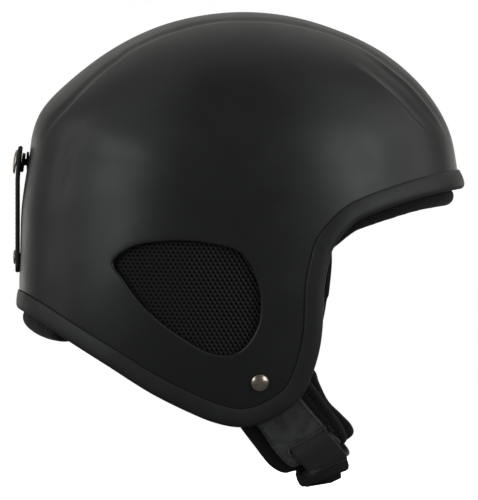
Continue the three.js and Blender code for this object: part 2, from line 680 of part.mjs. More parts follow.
// ---- chin-strap rivets ---------------------------------------------------------------------------

// A washer lies against the webbing, and the rivet's tail is peened over it.
const WASHER_THICK = 0.8;
const webSpot = strapPlane(RIVET.x, RIVET.z, WEB_LIFT);
const WEB_DEPTH = rivetSpot.clone().sub(webSpot).dot(rivetAxis);
const TAIL_DEPTH = WEB_DEPTH + STRAP_THICK / 2 + WASHER_THICK + 2;
const rivetProfile = [
  [0, -TAIL_DEPTH - 1], [3.4, -TAIL_DEPTH - 1], [3.4, -TAIL_DEPTH], [RIVET_SHANK, -TAIL_DEPTH],
  [RIVET_SHANK, GAP], [RIVET_HEAD, GAP], [RIVET_HEAD, 1.1], [4.5, 2.2], [2.6, 2.9], [0, 3.1],
];
addPair([helmet, helmet], "strap_rivet", turned(rivetProfile, rivetSpot, rivetAxis), nickel);
const washerTop = -STRAP_THICK / 2 - 3 * GAP;
const webCentre = rivetSpot.clone().addScaledVector(rivetAxis, -WEB_DEPTH / rivetAxis.dot(planeNormal));
addPair([helmet, helmet], "strap_washer",
  turned(ringProfile(RIVET_SHANK + 0.5, 6, washerTop - WASHER_THICK, washerTop), webCentre, planeNormal), nickel);

// ---- side-release buckle -------------------------------------------------------------------------

// Placed in the buckle's own frame: x across the strap, y along it, z upwards through its thickness.
function buckleGroup(parent) {
  const group = new THREE.Group();
  group.position.set(BUCKLE.x, 0, BUCKLE.z);
  group.rotation.y = -BUCKLE.angle * DEGREE;
  parent.add(group);
  return group;
}

// The buckle body's outline seen along the strap: a flat oval with rounded ends.
function buckleBody(y0, y1) {
  const w = BUCKLE.halfWidth;
  const t = BUCKLE.halfThick;
  const corner = 3;
  const shape = new THREE.Shape();
  shape.moveTo(-w + corner, -t);
  shape.lineTo(w - corner, -t);
  shape.quadraticCurveTo(w, -t, w, 0);
  shape.quadraticCurveTo(w, t, w - corner, t);
  shape.lineTo(-w + corner, t);
  shape.quadraticCurveTo(-w, t, -w, 0);
  shape.quadraticCurveTo(-w, -t, -w + corner, -t);
  return new THREE.ExtrudeGeometry(shape, { depth: y1 - y0, bevelEnabled: false, curveSegments: 3 })
    .rotateX(Math.PI / 2).translate(0, y1, 0);
}

const webLow = -WEB_LEVEL - STRAP_THICK / 2 - 0.5;
const webHigh = -WEB_LEVEL + STRAP_THICK / 2 + 0.5;
const webHalf = STRAP_WIDTH / 2 + 0.6;
const CAVITY_HALF = 13;
const female = cut(buckleBody(BUCKLE_Y.femaleEnd, BUCKLE_Y.mouth),
  box(-webHalf, webHalf, BUCKLE_Y.femaleEnd - 1, BUCKLE_Y.femaleEnd + 5, webLow, webHigh),
  box(-CAVITY_HALF, CAVITY_HALF, BUCKLE_Y.prongTip - 3, BUCKLE_Y.mouth + 1, -PRONG.high - 0.5, -PRONG.low + 0.5),
  box(-20, 20, BUCKLE_Y.prongTip + 2, BUCKLE_Y.mouth - 4, -PRONG.high - 0.2, -PRONG.low + 0.2));
const hump = new THREE.ExtrudeGeometry(new THREE.Shape(BUCKLE_HUMP.map(([x, z]) => new THREE.Vector2(x, z))),
  { depth: BUCKLE_Y.maleEnd - BUCKLE_Y.maleFront - 3, bevelEnabled: false })
  .rotateX(Math.PI / 2).translate(0, BUCKLE_Y.maleEnd - 1, 0);
const male = join(
  cut(buckleBody(BUCKLE_Y.maleFront, BUCKLE_Y.maleEnd),
    box(-webHalf, webHalf, BUCKLE_Y.maleFront - 1, BUCKLE_Y.maleEnd + 1, webLow, webHigh),
    box(-PRONG.outer - 1, -PRONG.inner + 1, BUCKLE_Y.maleFront - 1, BUCKLE_Y.maleFront + 3, -4.5, 2),
    box(PRONG.inner - 1, PRONG.outer + 1, BUCKLE_Y.maleFront - 1, BUCKLE_Y.maleFront + 3, -4.5, 2)),
  box(-5.5, 5.5, BUCKLE_Y.prongTip + 3, BUCKLE_Y.maleFront + 1, -PRONG.high + 0.4, -PRONG.low - 0.4),
  hump);

function prong(side) {
  const shape = new THREE.Shape();
  shape.moveTo(PRONG.inner, BUCKLE_Y.maleFront + 1.6);
  shape.lineTo(PRONG.outer - 0.4, BUCKLE_Y.maleFront + 1.6);
  shape.lineTo(PRONG.outer - 0.9, BUCKLE_Y.maleFront - 5);
  shape.lineTo(PRONG.outer, BUCKLE_Y.maleFront - 7);
  shape.lineTo(PRONG.outer, BUCKLE_Y.prongTip + 3);
  shape.lineTo(PRONG.inner + 1, BUCKLE_Y.prongTip);
  shape.lineTo(PRONG.inner, BUCKLE_Y.prongTip + 1);
  const depth = PRONG.high - PRONG.low;
  const one = new THREE.ExtrudeGeometry(shape, { depth, bevelEnabled: false }).translate(0, 0, -PRONG.high);
  return side > 0 ? one : one.rotateY(Math.PI).translate(0, 0, -PRONG.high - PRONG.low);
}

addNode(buckleGroup(rightStrap), "buckle_female", female, plastic);
const maleGroup = buckleGroup(leftStrap);
addNode(maleGroup, "buckle_male", male, plastic);
addNode(maleGroup, "buckle_prong_front", prong(1), plastic);
addNode(maleGroup, "buckle_prong_rear", prong(-1), plastic);

// ---- goggle-strap retainer -----------------------------------------------------------------------

const behind = RETAINER_THICK / 2;

// The outer face's x in the middle plane at a height, found along the outline.
function backX(z) {
  let low = -160;
  let high = CENTRE.x;
  for (let i = 0; i < 40; i++) {
    const x = (low + high) / 2;
    if (domeLevel(new THREE.Vector3(x, 0, z)) > 1) low = x;
    else high = x;
  }
  return low;
}

function retainerPiece(low, high) {
  const half = RETAINER_WIDTH / 2;
  const radius = behind;
  const shape = new THREE.Shape();
  shape.moveTo(RETAINER_X - radius, low + radius);
  shape.lineTo(RETAINER_X - radius, high - radius);
  shape.absarc(RETAINER_X, high - radius, radius, Math.PI, 0, true);
  shape.lineTo(RETAINER_X + radius, low + radius);
  shape.absarc(RETAINER_X, low + radius, radius, 0, -Math.PI, true);
  return new THREE.ExtrudeGeometry(shape, { depth: RETAINER_WIDTH, bevelEnabled: false, curveSegments: 4 })
    .rotateX(Math.PI / 2).translate(0, half, 0);
}

const foldGap = 0.25;
const anchorHole = rod(RIVET_HOLE, -4, 4, retainerPoint(RETAINER_RIVET_Z), back, 10);
const capHole = rod(RIVET_HOLE, -4, 4, retainerPoint(SNAP_Z), back, 10);
addNode(helmet, "retainer_anchor",
  cut(retainerPiece(RETAINER_BOTTOM, RETAINER_FOLD - foldGap + behind), anchorHole), vinyl);
const retainer = new THREE.Group();
helmet.add(retainer);
addNode(retainer, "retainer_strap",
  cut(retainerPiece(RETAINER_FOLD + foldGap + behind, RETAINER_TOP), capHole), vinyl);

// Heights along a pin are measured backwards from the middle of the retainer strap.
const shellFace = (z) => backX(z) - RETAINER_X;
const snapFace = -shellFace(SNAP_Z);
const rivetFace = -shellFace(RETAINER_RIVET_Z);
// lean is the room that the shell's slope needs under a flat washer or flange.
const STUD_LEAN = 1.1;
const RIVET_LEAN = 0.5;
const pinTail = (face, lean) => {
  const under = face - SHELL - lean - WASHER_THICK - 2 * GAP;
  return [[0, under - 0.8], [4.6, under - 0.8], [4.6, under], [RIVET_SHANK, under]];
};
const pinWasher = (face, lean) =>
  ringProfile(RIVET_SHANK + GAP, 6, face - SHELL - lean - WASHER_THICK - GAP / 2, face - SHELL - lean - GAP / 2);
const atRivet = retainerPoint(RETAINER_RIVET_Z);
const atSnap = retainerPoint(SNAP_Z);
const rivetTop = [[RIVET_SHANK, behind + GAP], [4.4, behind + GAP], [4.4, behind + 0.9], [2.6, behind + 1.5],
  [0, behind + 1.7]];
const studTop = [[RIVET_SHANK, STUD_LEAN], [4.8, STUD_LEAN], [4.8, 1.7], [2.1, 1.9], [2.1, 2.5], [2.5, 3],
  [2.1, 3.7], [0, 3.9]].map(([r, h]) => [r, snapFace + h]);
const socketLow = snapFace + 2.1;
const socketHigh = -behind - GAP;
const socket = [[2.85, socketLow], [5.2, socketLow], [6, socketLow + 0.3], [6, socketHigh], [2.85, socketHigh],
  [2.85, socketLow]];
const cap = [[0, -1.8], [RIVET_SHANK, -1.8], [RIVET_SHANK, GAP], [7.5, GAP], [7.5, 0.8], [6.4, 1.8], [3.5, 2.4],
  [0, 2.6]].map(([r, h]) => [r, behind + h]);
addNode(helmet, "retainer_rivet", turned([...pinTail(rivetFace, RIVET_LEAN), ...rivetTop], atRivet, back, 14),
  nickel);
addNode(helmet, "retainer_washer", turned(pinWasher(rivetFace, RIVET_LEAN), atRivet, back, 14), nickel);
addNode(helmet, "snap_stud", turned([...pinTail(snapFace, STUD_LEAN), ...studTop], atSnap, back, 14), nickel);
addNode(helmet, "snap_washer", turned(pinWasher(snapFace, STUD_LEAN), atSnap, back, 14), nickel);
addNode(retainer, "snap_socket", turned(socket, atSnap, back, 14), nickel);
addNode(retainer, "snap_cap", turned(cap, atSnap, back, 18), nickel);

export default helmet;
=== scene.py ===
import json
import math

import bmesh
import bpy
import numpy as np
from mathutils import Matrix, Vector
from mathutils.geometry import delaunay_2d_cdt

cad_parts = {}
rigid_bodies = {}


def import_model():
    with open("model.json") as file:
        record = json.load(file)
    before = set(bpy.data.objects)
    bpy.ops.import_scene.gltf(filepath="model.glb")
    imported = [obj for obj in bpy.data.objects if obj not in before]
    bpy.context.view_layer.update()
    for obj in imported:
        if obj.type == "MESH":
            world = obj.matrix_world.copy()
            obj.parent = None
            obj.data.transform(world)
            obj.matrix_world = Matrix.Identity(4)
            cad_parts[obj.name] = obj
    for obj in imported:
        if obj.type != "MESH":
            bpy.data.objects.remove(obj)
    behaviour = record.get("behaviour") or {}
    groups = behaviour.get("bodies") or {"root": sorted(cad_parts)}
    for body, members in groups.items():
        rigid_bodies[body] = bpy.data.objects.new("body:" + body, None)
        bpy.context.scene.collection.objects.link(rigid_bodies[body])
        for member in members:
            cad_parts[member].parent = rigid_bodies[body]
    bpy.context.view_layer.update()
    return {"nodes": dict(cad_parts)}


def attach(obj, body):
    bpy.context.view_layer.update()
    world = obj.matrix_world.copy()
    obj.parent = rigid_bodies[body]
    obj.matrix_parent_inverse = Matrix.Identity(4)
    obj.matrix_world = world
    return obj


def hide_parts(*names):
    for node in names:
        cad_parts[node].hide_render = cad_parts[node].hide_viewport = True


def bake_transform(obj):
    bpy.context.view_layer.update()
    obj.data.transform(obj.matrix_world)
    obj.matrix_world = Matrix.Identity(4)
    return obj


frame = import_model()

# Lengths are millimetres here, and become metres when a mesh is made.
MM = 0.001
DEGREE = math.pi / 180

# ---- the helmet's driving dimensions ---------------------------------------------------------------

CENTRE = np.array([-12.2, 0.0, -71.4])
HALF_WIDTH = 112.0
ROUNDNESS = 2.3
SHELL = 3.0
LINER_TOP, LINER_BOTTOM = 5.0, 25.0
PAD_TOP, PAD_BOTTOM = 26.3, 31.0
TRIM_FIT, TRIM_WALL, TRIM_LIP, TRIM_EASE = 0.5, 2.3, 1.5, 1.3
TRIM_BASE, TRIM_COVER = 2.8, 9.0
RIVET = (12.0, -194.5)
STRAP_WIDTH, STRAP_THICK = 25.0, 1.5
LEFT_STRAP_TILT = 2.5
RETAINER_WIDTH, RETAINER_THICK, RETAINER_X = 20.0, 2.4, -135.65
RETAINER_TOP, RETAINER_FOLD, RETAINER_BOTTOM = -50.6, -108.0, -127.8
SNAP_Z, RETAINER_RIVET_Z = -60.4, -118.3
NOSE_ANGLE, NAPE_ANGLE = -1.0, -148.3
LINER_NOSE_ANGLE, LINER_NAPE_ANGLE = 3.5, -156.0

OUTLINE = [
    [1.8, 31.1], [-36.6, 26.2], [-67, 14.6], [-95.8, -4.3], [-120.8, -28.7], [-126.8, -44], [-128.3, -56], [-130.6, -69],
    [-133.2, -89], [-133.9, -114], [-134.3, -150], [-128, -200], [-105, -250], [-60, -290], [-12, -300], [40, -288],
    [85, -250], [118, -190], [134, -130], [136.3, -92], [132.6, -65.3], [127.5, -40.9], [112.9, -16.5],
    [84.8, 7.9], [40.3, 26.2],
]
EDGE = [
    [122, -76.4], [108.5, -79.9], [85, -87.7], [69.2, -94.8], [59.4, -104.4], [53.6, -113], [51.2, -121.8],
    [48.5, -135.4], [47.2, -162.2], [45.4, -174.6], [42, -186.5], [37.3, -198], [32.3, -204.6], [27, -209],
    [20, -213.2], [11.4, -217], [-0.5, -218.8], [-14.7, -216.1], [-29.8, -210], [-53, -198.4], [-79, -182],
    [-103.3, -166.7], [-120, -155.5],
]
LINER_EDGE = [
    [110, -65], [84, -73], [62, -82], [44, -93], [20, -98], [-35, -97], [-72, -104], [-90, -124], [-104, -133],
]
EAR_OPENING = [
    [-77.2, -122], [-69.8, -114.7], [-59.8, -110.8], [-34.8, -108.6], [-15.4, -110.8], [-1.3, -115.1],
    [5.5, -122], [11, -135.3], [12.8, -148.5], [11, -160.2], [5.5, -170.2], [-1.3, -176.2], [-7.6, -177.8],
    [-19.3, -176.2], [-34.8, -167.6], [-50.4, -156.2], [-62.2, -144.6], [-71.4, -131.5],
]
EAR_CENTRE = (-28.0, -143.0)
EAR_PAD = [
    [64.5, -110], [65.8, -117], [65.5, -128], [62.5, -150], [59.5, -162], [51, -182], [34, -203], [8, -212],
    [-16, -209], [-42, -198], [-64, -184], [-84, -170], [-92, -148], [-86, -122], [-70, -108], [-35, -102],
    [10, -103], [42, -101], [58, -103],
]
SIDE_PAD = [[58, -58], [40, -88], [0, -92], [-40, -92], [-70, -84], [-76, -58], [-50, -44], [20, -44]]
STRAP_PAD_BACK = [
    [-5, -214.5], [-0.3, -221.1], [9.2, -233.6], [17.7, -244.4], [23.5, -248.4], [27.8, -249.5], [31.4, -248.6],
    [41, -246.2],
]
STRAP_PAD_FRONT = {
    "right": [[58.5, -236], [63, -232], [65, -228.5], [64, -224.5], [60, -217], [53, -207.4], [43.1, -194],
              [38, -187.5]],
    "left": [[58.3, -236.1], [62.9, -233.4], [67.4, -230.2], [68.4, -227.7], [67.1, -223.7], [61.1, -216.7],
             [53.7, -208.5], [48.8, -197.7], [44.8, -188.7]],
}
STRAP_PATCH = [
    [5.5, -212.5], [11.9, -221.6], [19.3, -232.7], [25.6, -240.2], [29.9, -243.6], [32.9, -243.8],
    [60.5, -229.1], [54.7, -223.3], [46.8, -214.7], [37.8, -204.2], [31.5, -196.5],
]
SLIT_X, SLIT_Z, SLIT_ANGLE, SLIT_LENGTH, SLIT_WIDTH = 41.5, -228.5, 29.4, 27.0, 3.2
BUCKLE_X, BUCKLE_Z, BUCKLE_ANGLE = 50.0, -247.8, 21.0
FEMALE_END, MALE_FRONT = -58.0, -31.6
WEB_LEVEL = -3.2

# The side that is seen in the photo, then the other, each with what its points are multiplied by.
SIDES = (("right", np.array([1, 1, 1])), ("left", np.array([1, -1, 1])))
BLOCK = 3000  # points compared at once with every part of a line
# The crease that borders the raised band along the crown, from the back over the top to the front.
CREASE = [
    [-121.5, -50], [-116.5, -41.5], [-109.8, -32.9], [-102.5, -25], [-95.2, -17.1], [-87.8, -9.8], [-80.5, -3.7],
    [-73.2, 1.8], [-65.9, 7.3], [-58.6, 11], [-51.2, 14.6], [-36.6, 19.5], [-22, 23.2], [-7.3, 25], [7.3, 25],
    [22, 24.4], [36.6, 22], [51.2, 18.3], [65.9, 12.8], [80.5, 4.9], [95.2, -6.1], [102.5, -12.2],
    [109.8, -20.1], [117.1, -29.3], [120.8, -34.8], [124.4, -41.5], [127.2, -50],
]
FRONT_CREASE = [[60, 4], [76, -6.2], [85.9, -14.2], [96.6, -24], [105.6, -33.9], [111.8, -40.1], [117, -48]]
BACK_GROOVE = [[-84, -28], [-97.6, -42.7], [-105, -58], [-109.8, -75.6], [-111.5, -92]]

# ---- small tools -----------------------------------------------------------------------------------


def catmull(points, closed, shares):
    """Centripetal Catmull-Rom through points, at shares of its way from 0 to 1."""
    points = np.asarray(points, float)
    if closed:
        padded = np.vstack([points[-1:], points, points[:2]])
    else:
        padded = np.vstack([2 * points[:1] - points[1:2], points, 2 * points[-1:] - points[-2:-1]])
    spans = len(padded) - 3
    way = np.clip(np.asarray(shares, float), 0, 1) * spans
    span = np.minimum(way.astype(int), spans - 1)
    t = (way - span)[:, None]
    p0, p1, p2, p3 = (padded[span + k] for k in range(4))
    d0, d1, d2 = (np.maximum(np.linalg.norm(b - a, axis=1, keepdims=True) ** 0.5, 1e-4)
                  for a, b in ((p0, p1), (p1, p2), (p2, p3)))
    t1 = ((p1 - p0) / d0 - (p2 - p0) / (d0 + d1) + (p2 - p1) / d1) * d1
    t2 = ((p2 - p1) / d1 - (p3 - p1) / (d1 + d2) + (p3 - p2) / d2) * d1
    return p1 + t1 * t + (-3 * p1 + 3 * p2 - 2 * t1 - t2) * t ** 2 + (2 * p1 - 2 * p2 + t1 + t2) * t ** 3


def smooth_line(points, count, closed=False):
    """Evenly spaced points along the curve through points."""
    fine = catmull(points, closed, np.linspace(0, 1, 40 * len(points)))
    return resample(fine, count, closed)


def resample(points, count, closed=False):
    """count points evenly spaced by length; a closed line leaves out its last point, which is its first."""
    along = np.concatenate([[0], np.cumsum(np.linalg.norm(np.diff(points, axis=0), axis=1))])
    targets = np.linspace(0, along[-1], count, endpoint=not closed)
    return np.stack([np.interp(targets, along, points[:, k]) for k in range(points.shape[1])], axis=1)


def unit(vectors):
    return vectors / np.linalg.norm(vectors, axis=-1, keepdims=True)


def beside(line, closed=False):
    """The direction to the left of a 2-D line at each of its points."""
    ahead = unit(np.roll(line, -1, axis=0) - np.roll(line, 1, axis=0) if closed else np.gradient(line, axis=0))
    return np.stack([-ahead[:, 1], ahead[:, 0]], axis=1)


def inside(points, loop):
    """Whether each 2-D point is inside a closed loop."""
    x, y = points[:, 0:1], points[:, 1:2]
    x0, y0 = loop[:, 0][None], loop[:, 1][None]
    x1, y1 = np.roll(loop[:, 0], -1)[None], np.roll(loop[:, 1], -1)[None]
    crosses = (y0 > y) != (y1 > y)
    with np.errstate(divide="ignore", invalid="ignore"):
        at = x0 + (y - y0) * (x1 - x0) / (y1 - y0)
    return (np.sum(crosses & (x < at), axis=1) % 2).astype(bool)


def line_distance(points, line, closed=False):
    """Each 2-D point's distance to a polyline, the side that it is on, and how far along the line it is."""
    ends = np.roll(line, -1, axis=0) if closed else line[1:]
    starts = line if closed else line[:-1]
    spans = ends - starts
    lengths = np.linalg.norm(spans, axis=1)
    before = np.concatenate([[0], np.cumsum(lengths)[:-1]])
    best, side, place = [], [], []
    for block in np.array_split(points, max(1, len(points) // BLOCK)):
        arms = block[:, None] - starts[None]
        share = np.clip(np.sum(arms * spans, axis=2) / np.maximum(lengths ** 2, 1e-12), 0, 1)
        gaps = np.linalg.norm(arms - share[..., None] * spans, axis=2)
        nearest = np.argmin(gaps, axis=1)
        rows = np.arange(len(block))
        cross = spans[nearest, 0] * arms[rows, nearest, 1] - spans[nearest, 1] * arms[rows, nearest, 0]
        best.append(gaps[rows, nearest])
        side.append(np.sign(cross))
        place.append(before[nearest] + share[rows, nearest] * lengths[nearest])
    return np.concatenate(best), np.concatenate(side), np.concatenate(place)


def fill_region(outer, holes, step, rows=()):
    """2-D points and triangles that fill a loop but not its holes. The loops' points come first, in order."""
    loops = [np.asarray(loop) for loop in (outer, *holes)]
    edges, start = [], 0
    for loop in loops:
        edges += [(start + i, start + (i + 1) % len(loop)) for i in range(len(loop))]
        start += len(loop)

    def filled(points):
        keep = inside(points, loops[0])
        for hole in loops[1:]:
            keep &= ~inside(points, hole)
        return keep

    def free(points, clearance):
        points = points[filled(points)]
        for loop in loops:
            points = points[line_distance(points, loop, closed=True)[0] > clearance]
        return points

    low, high = loops[0].min(0), loops[0].max(0)
    lanes = []
    for n, lane in enumerate(np.arange(low[1], high[1], step * 0.866)):
        spots = np.arange(low[0] + (n % 2) * step / 2, high[0], step)
        lanes.append(np.stack([spots, np.full(len(spots), lane)], axis=1))
    grid = free(np.vstack(lanes), 0.7 * step)
    extra = []
    for row, row_step in rows:
        row = free(row, 0.5 * row_step)
        if len(row):
            extra.append(row)
            gaps = [np.linalg.norm(block[:, None] - row[None], axis=2).min(1)
                    for block in np.array_split(grid, len(grid) // BLOCK + 1)]
            grid = grid[np.concatenate(gaps) > 0.8 * row_step]
    points = [Vector(p) for p in np.vstack([*loops, *extra, grid])]
    verts, _, faces, *_ = delaunay_2d_cdt(points, edges, [], 1, 1e-7)
    verts, faces = (np.array([tuple(item) for item in items]) for items in (verts, faces))
    return verts, faces[filled(verts[faces].mean(1))]


def make_piece(name, points, faces, material, body, nodes=(), merge=0.0):
    """A mesh from points in millimetres that rides on a body and stands for CAD nodes."""
    mesh = bpy.data.meshes.new(name)
    mesh.from_pydata((np.asarray(points) * MM).tolist(), [], [list(map(int, f)) for f in faces])
    mesh.validate()
    piece = bpy.data.objects.new(name, mesh)
    bpy.context.scene.collection.objects.link(piece)
    clean(piece, merge)
    smooth_shade(piece)
    mesh.materials.append(material)
    if body:
        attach(piece, body)
    if nodes:
        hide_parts(*nodes)
    return piece


def smooth_shade(piece):
    piece.data.polygons.foreach_set("use_smooth", [True] * len(piece.data.polygons))


def clean(piece, merge):
    """Merges points closer than merge and turns every face outwards."""
    edit = bmesh.new()
    edit.from_mesh(piece.data)
    if merge:
        bmesh.ops.remove_doubles(edit, verts=edit.verts, dist=merge * MM)
    bmesh.ops.recalc_face_normals(edit, faces=edit.faces)
    if edit.calc_volume(signed=True) < 0:
        bmesh.ops.reverse_faces(edit, faces=edit.faces)
    edit.to_mesh(piece.data)
    edit.free()
    piece.data.update()


def apply_modifiers(piece):
    """Bakes the piece's modifiers into its mesh."""
    graph = bpy.context.evaluated_depsgraph_get()
    graph.update()
    baked = bpy.data.meshes.new_from_object(piece.evaluated_get(graph))
    piece.modifiers.clear()
    old = piece.data
    piece.data = baked
    bpy.data.meshes.remove(old)


def strip_faces(first, second, count, closed=True):
    """Quads between two rows of points, given by their first numbers."""
    last = count if closed else count - 1
    return [(first + i, first + (i + 1) % count, second + (i + 1) % count, second + i) for i in range(last)]


def bridge(starts, count):
    """Quads between closed rows of points, one to the next, given by their first numbers."""
    return [face for first, second in zip(starts, starts[1:]) for face in strip_faces(first, second, count)]


def ring_faces(rows, count, closed):
    """Quads between closed rows of points; closed joins the last row to the first."""
    starts = [row * count for row in range(rows)]
    return bridge(starts + starts[:1] if closed else starts, count)


def loft_faces(rows, count):
    """Quads between closed rows of points, and a cap on each end."""
    caps = [tuple(range(count))[::-1], tuple(range((rows - 1) * count, rows * count))]
    return ring_faces(rows, count, False) + caps


# ---- the dome --------------------------------------------------------------------------------------


def outline_table():
    """The outline's radius about CENTRE at each whole degree, smoothed over a few degrees."""
    arms = catmull([[x, z] for x, z in OUTLINE], True, np.linspace(0, 1, 2401)) - CENTRE[[0, 2]]
    angles = (np.arctan2(arms[:, 1], arms[:, 0]) / DEGREE) % 360
    order = np.argsort(angles, kind="stable")
    lengths = np.linalg.norm(arms, axis=1)[order]
    picks = np.minimum(np.searchsorted(angles[order], np.arange(360)), len(lengths) - 1)
    table = lengths[picks]
    ways = np.arange(-3, 4)
    weights = np.exp(-ways ** 2 / 4)
    return sum(w * np.roll(table, -k) for k, w in zip(ways, weights)) / weights.sum()


RADII = outline_table()


def outline_radius(x, z):
    degrees = (np.arctan2(z, x) / DEGREE) % 360
    low = np.floor(degrees).astype(int)
    t = degrees - low
    a, b, c, d = (RADII[(low + k) % 360] for k in (-1, 0, 1, 2))
    return b + 0.5 * t * (c - a + t * (2 * a - 5 * b + 4 * c - d + t * (3 * (b - c) + d - a)))


def dome_level(points):
    """1 on the dome's outer face, less inside."""
    arm = points - CENTRE
    side = (np.abs(arm[..., 1]) / HALF_WIDTH) ** ROUNDNESS
    profile = (np.hypot(arm[..., 0], arm[..., 2]) / outline_radius(arm[..., 0], arm[..., 2])) ** ROUNDNESS
    return (side + profile) ** (1 / ROUNDNESS)


def onto_dome(points):
    return CENTRE + (points - CENTRE) / dome_level(points)[..., None]


def dome_normal(points, step=1.5):
    slopes = []
    for axis in range(3):
        shift = np.zeros(3)
        shift[axis] = step
        slopes.append(dome_level(points + shift) - dome_level(points - shift))
    return unit(np.stack(slopes, axis=-1))


def under_dome(points, depth):
    face = onto_dome(points)
    return face - dome_normal(face) * np.asarray(depth)[..., None]


def side_point(xz, side=-1.0):
    """The outer face's points that are seen from the side at x, z."""
    xz = np.asarray(xz, float)
    x, z = xz[..., 0], xz[..., 1]
    arm_x, arm_z = x - CENTRE[0], z - CENTRE[2]
    profile = (np.hypot(arm_x, arm_z) / outline_radius(arm_x, arm_z)) ** ROUNDNESS
    y = HALF_WIDTH * np.maximum(0, 1 - profile) ** (1 / ROUNDNESS)
    return np.stack([x, side * y, z], axis=-1)


def outline_point(degrees):
    angle = np.asarray(degrees, float) * DEGREE
    x, z = np.cos(angle), np.sin(angle)
    radius = outline_radius(x, z)
    return np.stack([CENTRE[0] + x * radius, np.zeros_like(x), CENTRE[2] + z * radius], axis=-1)


def edge_line(points, nose, nape, count):
    """Points along the right half of a lower edge, from nose to nape."""
    ends = [outline_point(nose)[[0, 2]], outline_point(nape)[[0, 2]]]
    shares = (1 - np.cos(np.linspace(0, math.pi, 3001))) / 2
    flat = catmull([ends[0], *points, ends[1]], False, shares)
    line = side_point(flat)
    line[[0, -1], 1] = 0
    return resample(line, count)


def both_sides(line):
    """The closed loop of a right half line and its mirror: nose, right side, nape, left side."""
    return np.vstack([line, (line * [1, -1, 1])[-2:0:-1]])


def mirrored(points):
    return np.asarray(points) * [1, -1, 1]


# Flat coordinates on the right half of the dome: the angle from the side pole, in the point's direction.
def to_flat(points):
    arm = unit(points - CENTRE)
    tilt = np.arccos(np.clip(-arm[:, 1], -1, 1))
    around = np.arctan2(arm[:, 2], arm[:, 0])
    return np.stack([tilt * np.cos(around), tilt * np.sin(around)], axis=1)


def from_flat(flat):
    tilt = np.hypot(flat[:, 0], flat[:, 1])
    around = np.arctan2(flat[:, 1], flat[:, 0])
    direction = np.stack([np.sin(tilt) * np.cos(around), -np.cos(tilt), np.sin(tilt) * np.sin(around)], axis=1)
    return onto_dome(CENTRE + 100 * direction)


def loop_frames(loop):
    """Normal, and the direction out past the loop, at each point of a closed loop on the dome."""
    along = unit(np.roll(loop, -1, axis=0) - np.roll(loop, 1, axis=0))
    normal = dome_normal(loop)
    return normal, unit(np.cross(normal, along))


def outward(loop, middle):
    """The direction out past a closed loop on the dome, away from its middle."""
    past = loop_frames(loop)[1]
    return past if np.sum(past * (loop - middle)) >= 0 else -past


# ---- materials -------------------------------------------------------------------------------------


def tone(colour):
    """A colour socket's value, from a grey or from red, green and blue."""
    return (colour, colour, colour, 1) if isinstance(colour, float) else (*colour, 1)


class Finish:
    """One material and the nodes that make it. Lengths inside its patterns are millimetres."""

    def __init__(self, name, base, roughness, metallic=0.0, **sockets):
        self.material = bpy.data.materials.new(name)
        self.material.use_nodes = True
        self.tree = self.material.node_tree
        self.shader = self.tree.nodes["Principled BSDF"]
        sockets.update(Base_Color=tone(base), Roughness=roughness, Metallic=metallic)
        for socket, value in sockets.items():
            self.shader.inputs[socket.replace("_", " ")].default_value = value
        self.height = None
        place = self.tree.nodes.new("ShaderNodeTexCoord").outputs["Object"]
        self.place = self.node("ShaderNodeVectorMath", {0: place, "Scale": 1 / MM}, operation="SCALE").outputs[0]
        self.x, self.y, self.z = self.split(self.place)

    def node(self, kind, values=(), **settings):
        node = self.tree.nodes.new(kind)
        for key, value in settings.items():
            setattr(node, key, value)
        for socket, value in dict(values).items():
            if isinstance(value, bpy.types.NodeSocket):
                self.tree.links.new(value, node.inputs[socket])
            else:
                node.inputs[socket].default_value = value
        return node

    def split(self, vector):
        return self.node("ShaderNodeSeparateXYZ", {0: vector}).outputs[0:3]

    def attribute(self, name):
        return self.split(self.node("ShaderNodeAttribute", attribute_name=name).outputs["Vector"])

    def math(self, operation, *values):
        return self.node("ShaderNodeMath", enumerate(values), operation=operation).outputs[0]

    def add(self, a, b):
        return self.math("ADD", a, b)

    def times(self, a, b):
        return self.math("MULTIPLY", a, b)

    def noise(self, size, detail=2.0, stretch=(1, 1, 1)):
        """Noise whose lumps are about size millimetres across."""
        vector = self.place
        if stretch != (1, 1, 1):
            vector = self.node("ShaderNodeVectorMath", {0: vector, 1: stretch}, operation="MULTIPLY").outputs[0]
        return self.node("ShaderNodeTexNoise", {"Vector": vector, "Scale": 1 / size, "Detail": detail}).outputs[0]

    def cells(self, size):
        return self.node("ShaderNodeTexVoronoi", {"Vector": self.place, "Scale": 1 / size}).outputs["Distance"]

    def wave(self, position, pitch):
        """0 to 1 and back over each pitch."""
        turned = self.math("SINE", self.times(position, 2 * math.pi / pitch))
        return self.math("MULTIPLY_ADD", turned, 0.5, 0.5)

    def within(self, value, low, high, to_low=0.0, to_high=1.0):
        return self.node("ShaderNodeMapRange", {0: value, 1: low, 2: high, 3: to_low, 4: to_high},
                         clamp=True).outputs[0]

    def colour(self, share, dark, light):
        mix = self.node("ShaderNodeMix", {"Factor": share, 6: tone(dark), 7: tone(light)}, data_type="RGBA")
        self.tree.links.new(mix.outputs[2], self.shader.inputs["Base Color"])
        return self

    def rough(self, share, low, high):
        self.tree.links.new(self.within(share, 0, 1, low, high), self.shader.inputs["Roughness"])
        return self

    def bump(self, height, depth, strength=1.0):
        """Bump from a height of 0 to 1 that stands for depth millimetres. Later calls lie over earlier ones."""
        values = {"Strength": strength, "Distance": depth * MM, "Height": height}
        if self.height is not None:
            values["Normal"] = self.height
        self.height = self.node("ShaderNodeBump", values).outputs[0]
        self.tree.links.new(self.height, self.shader.inputs["Normal"])
        return self


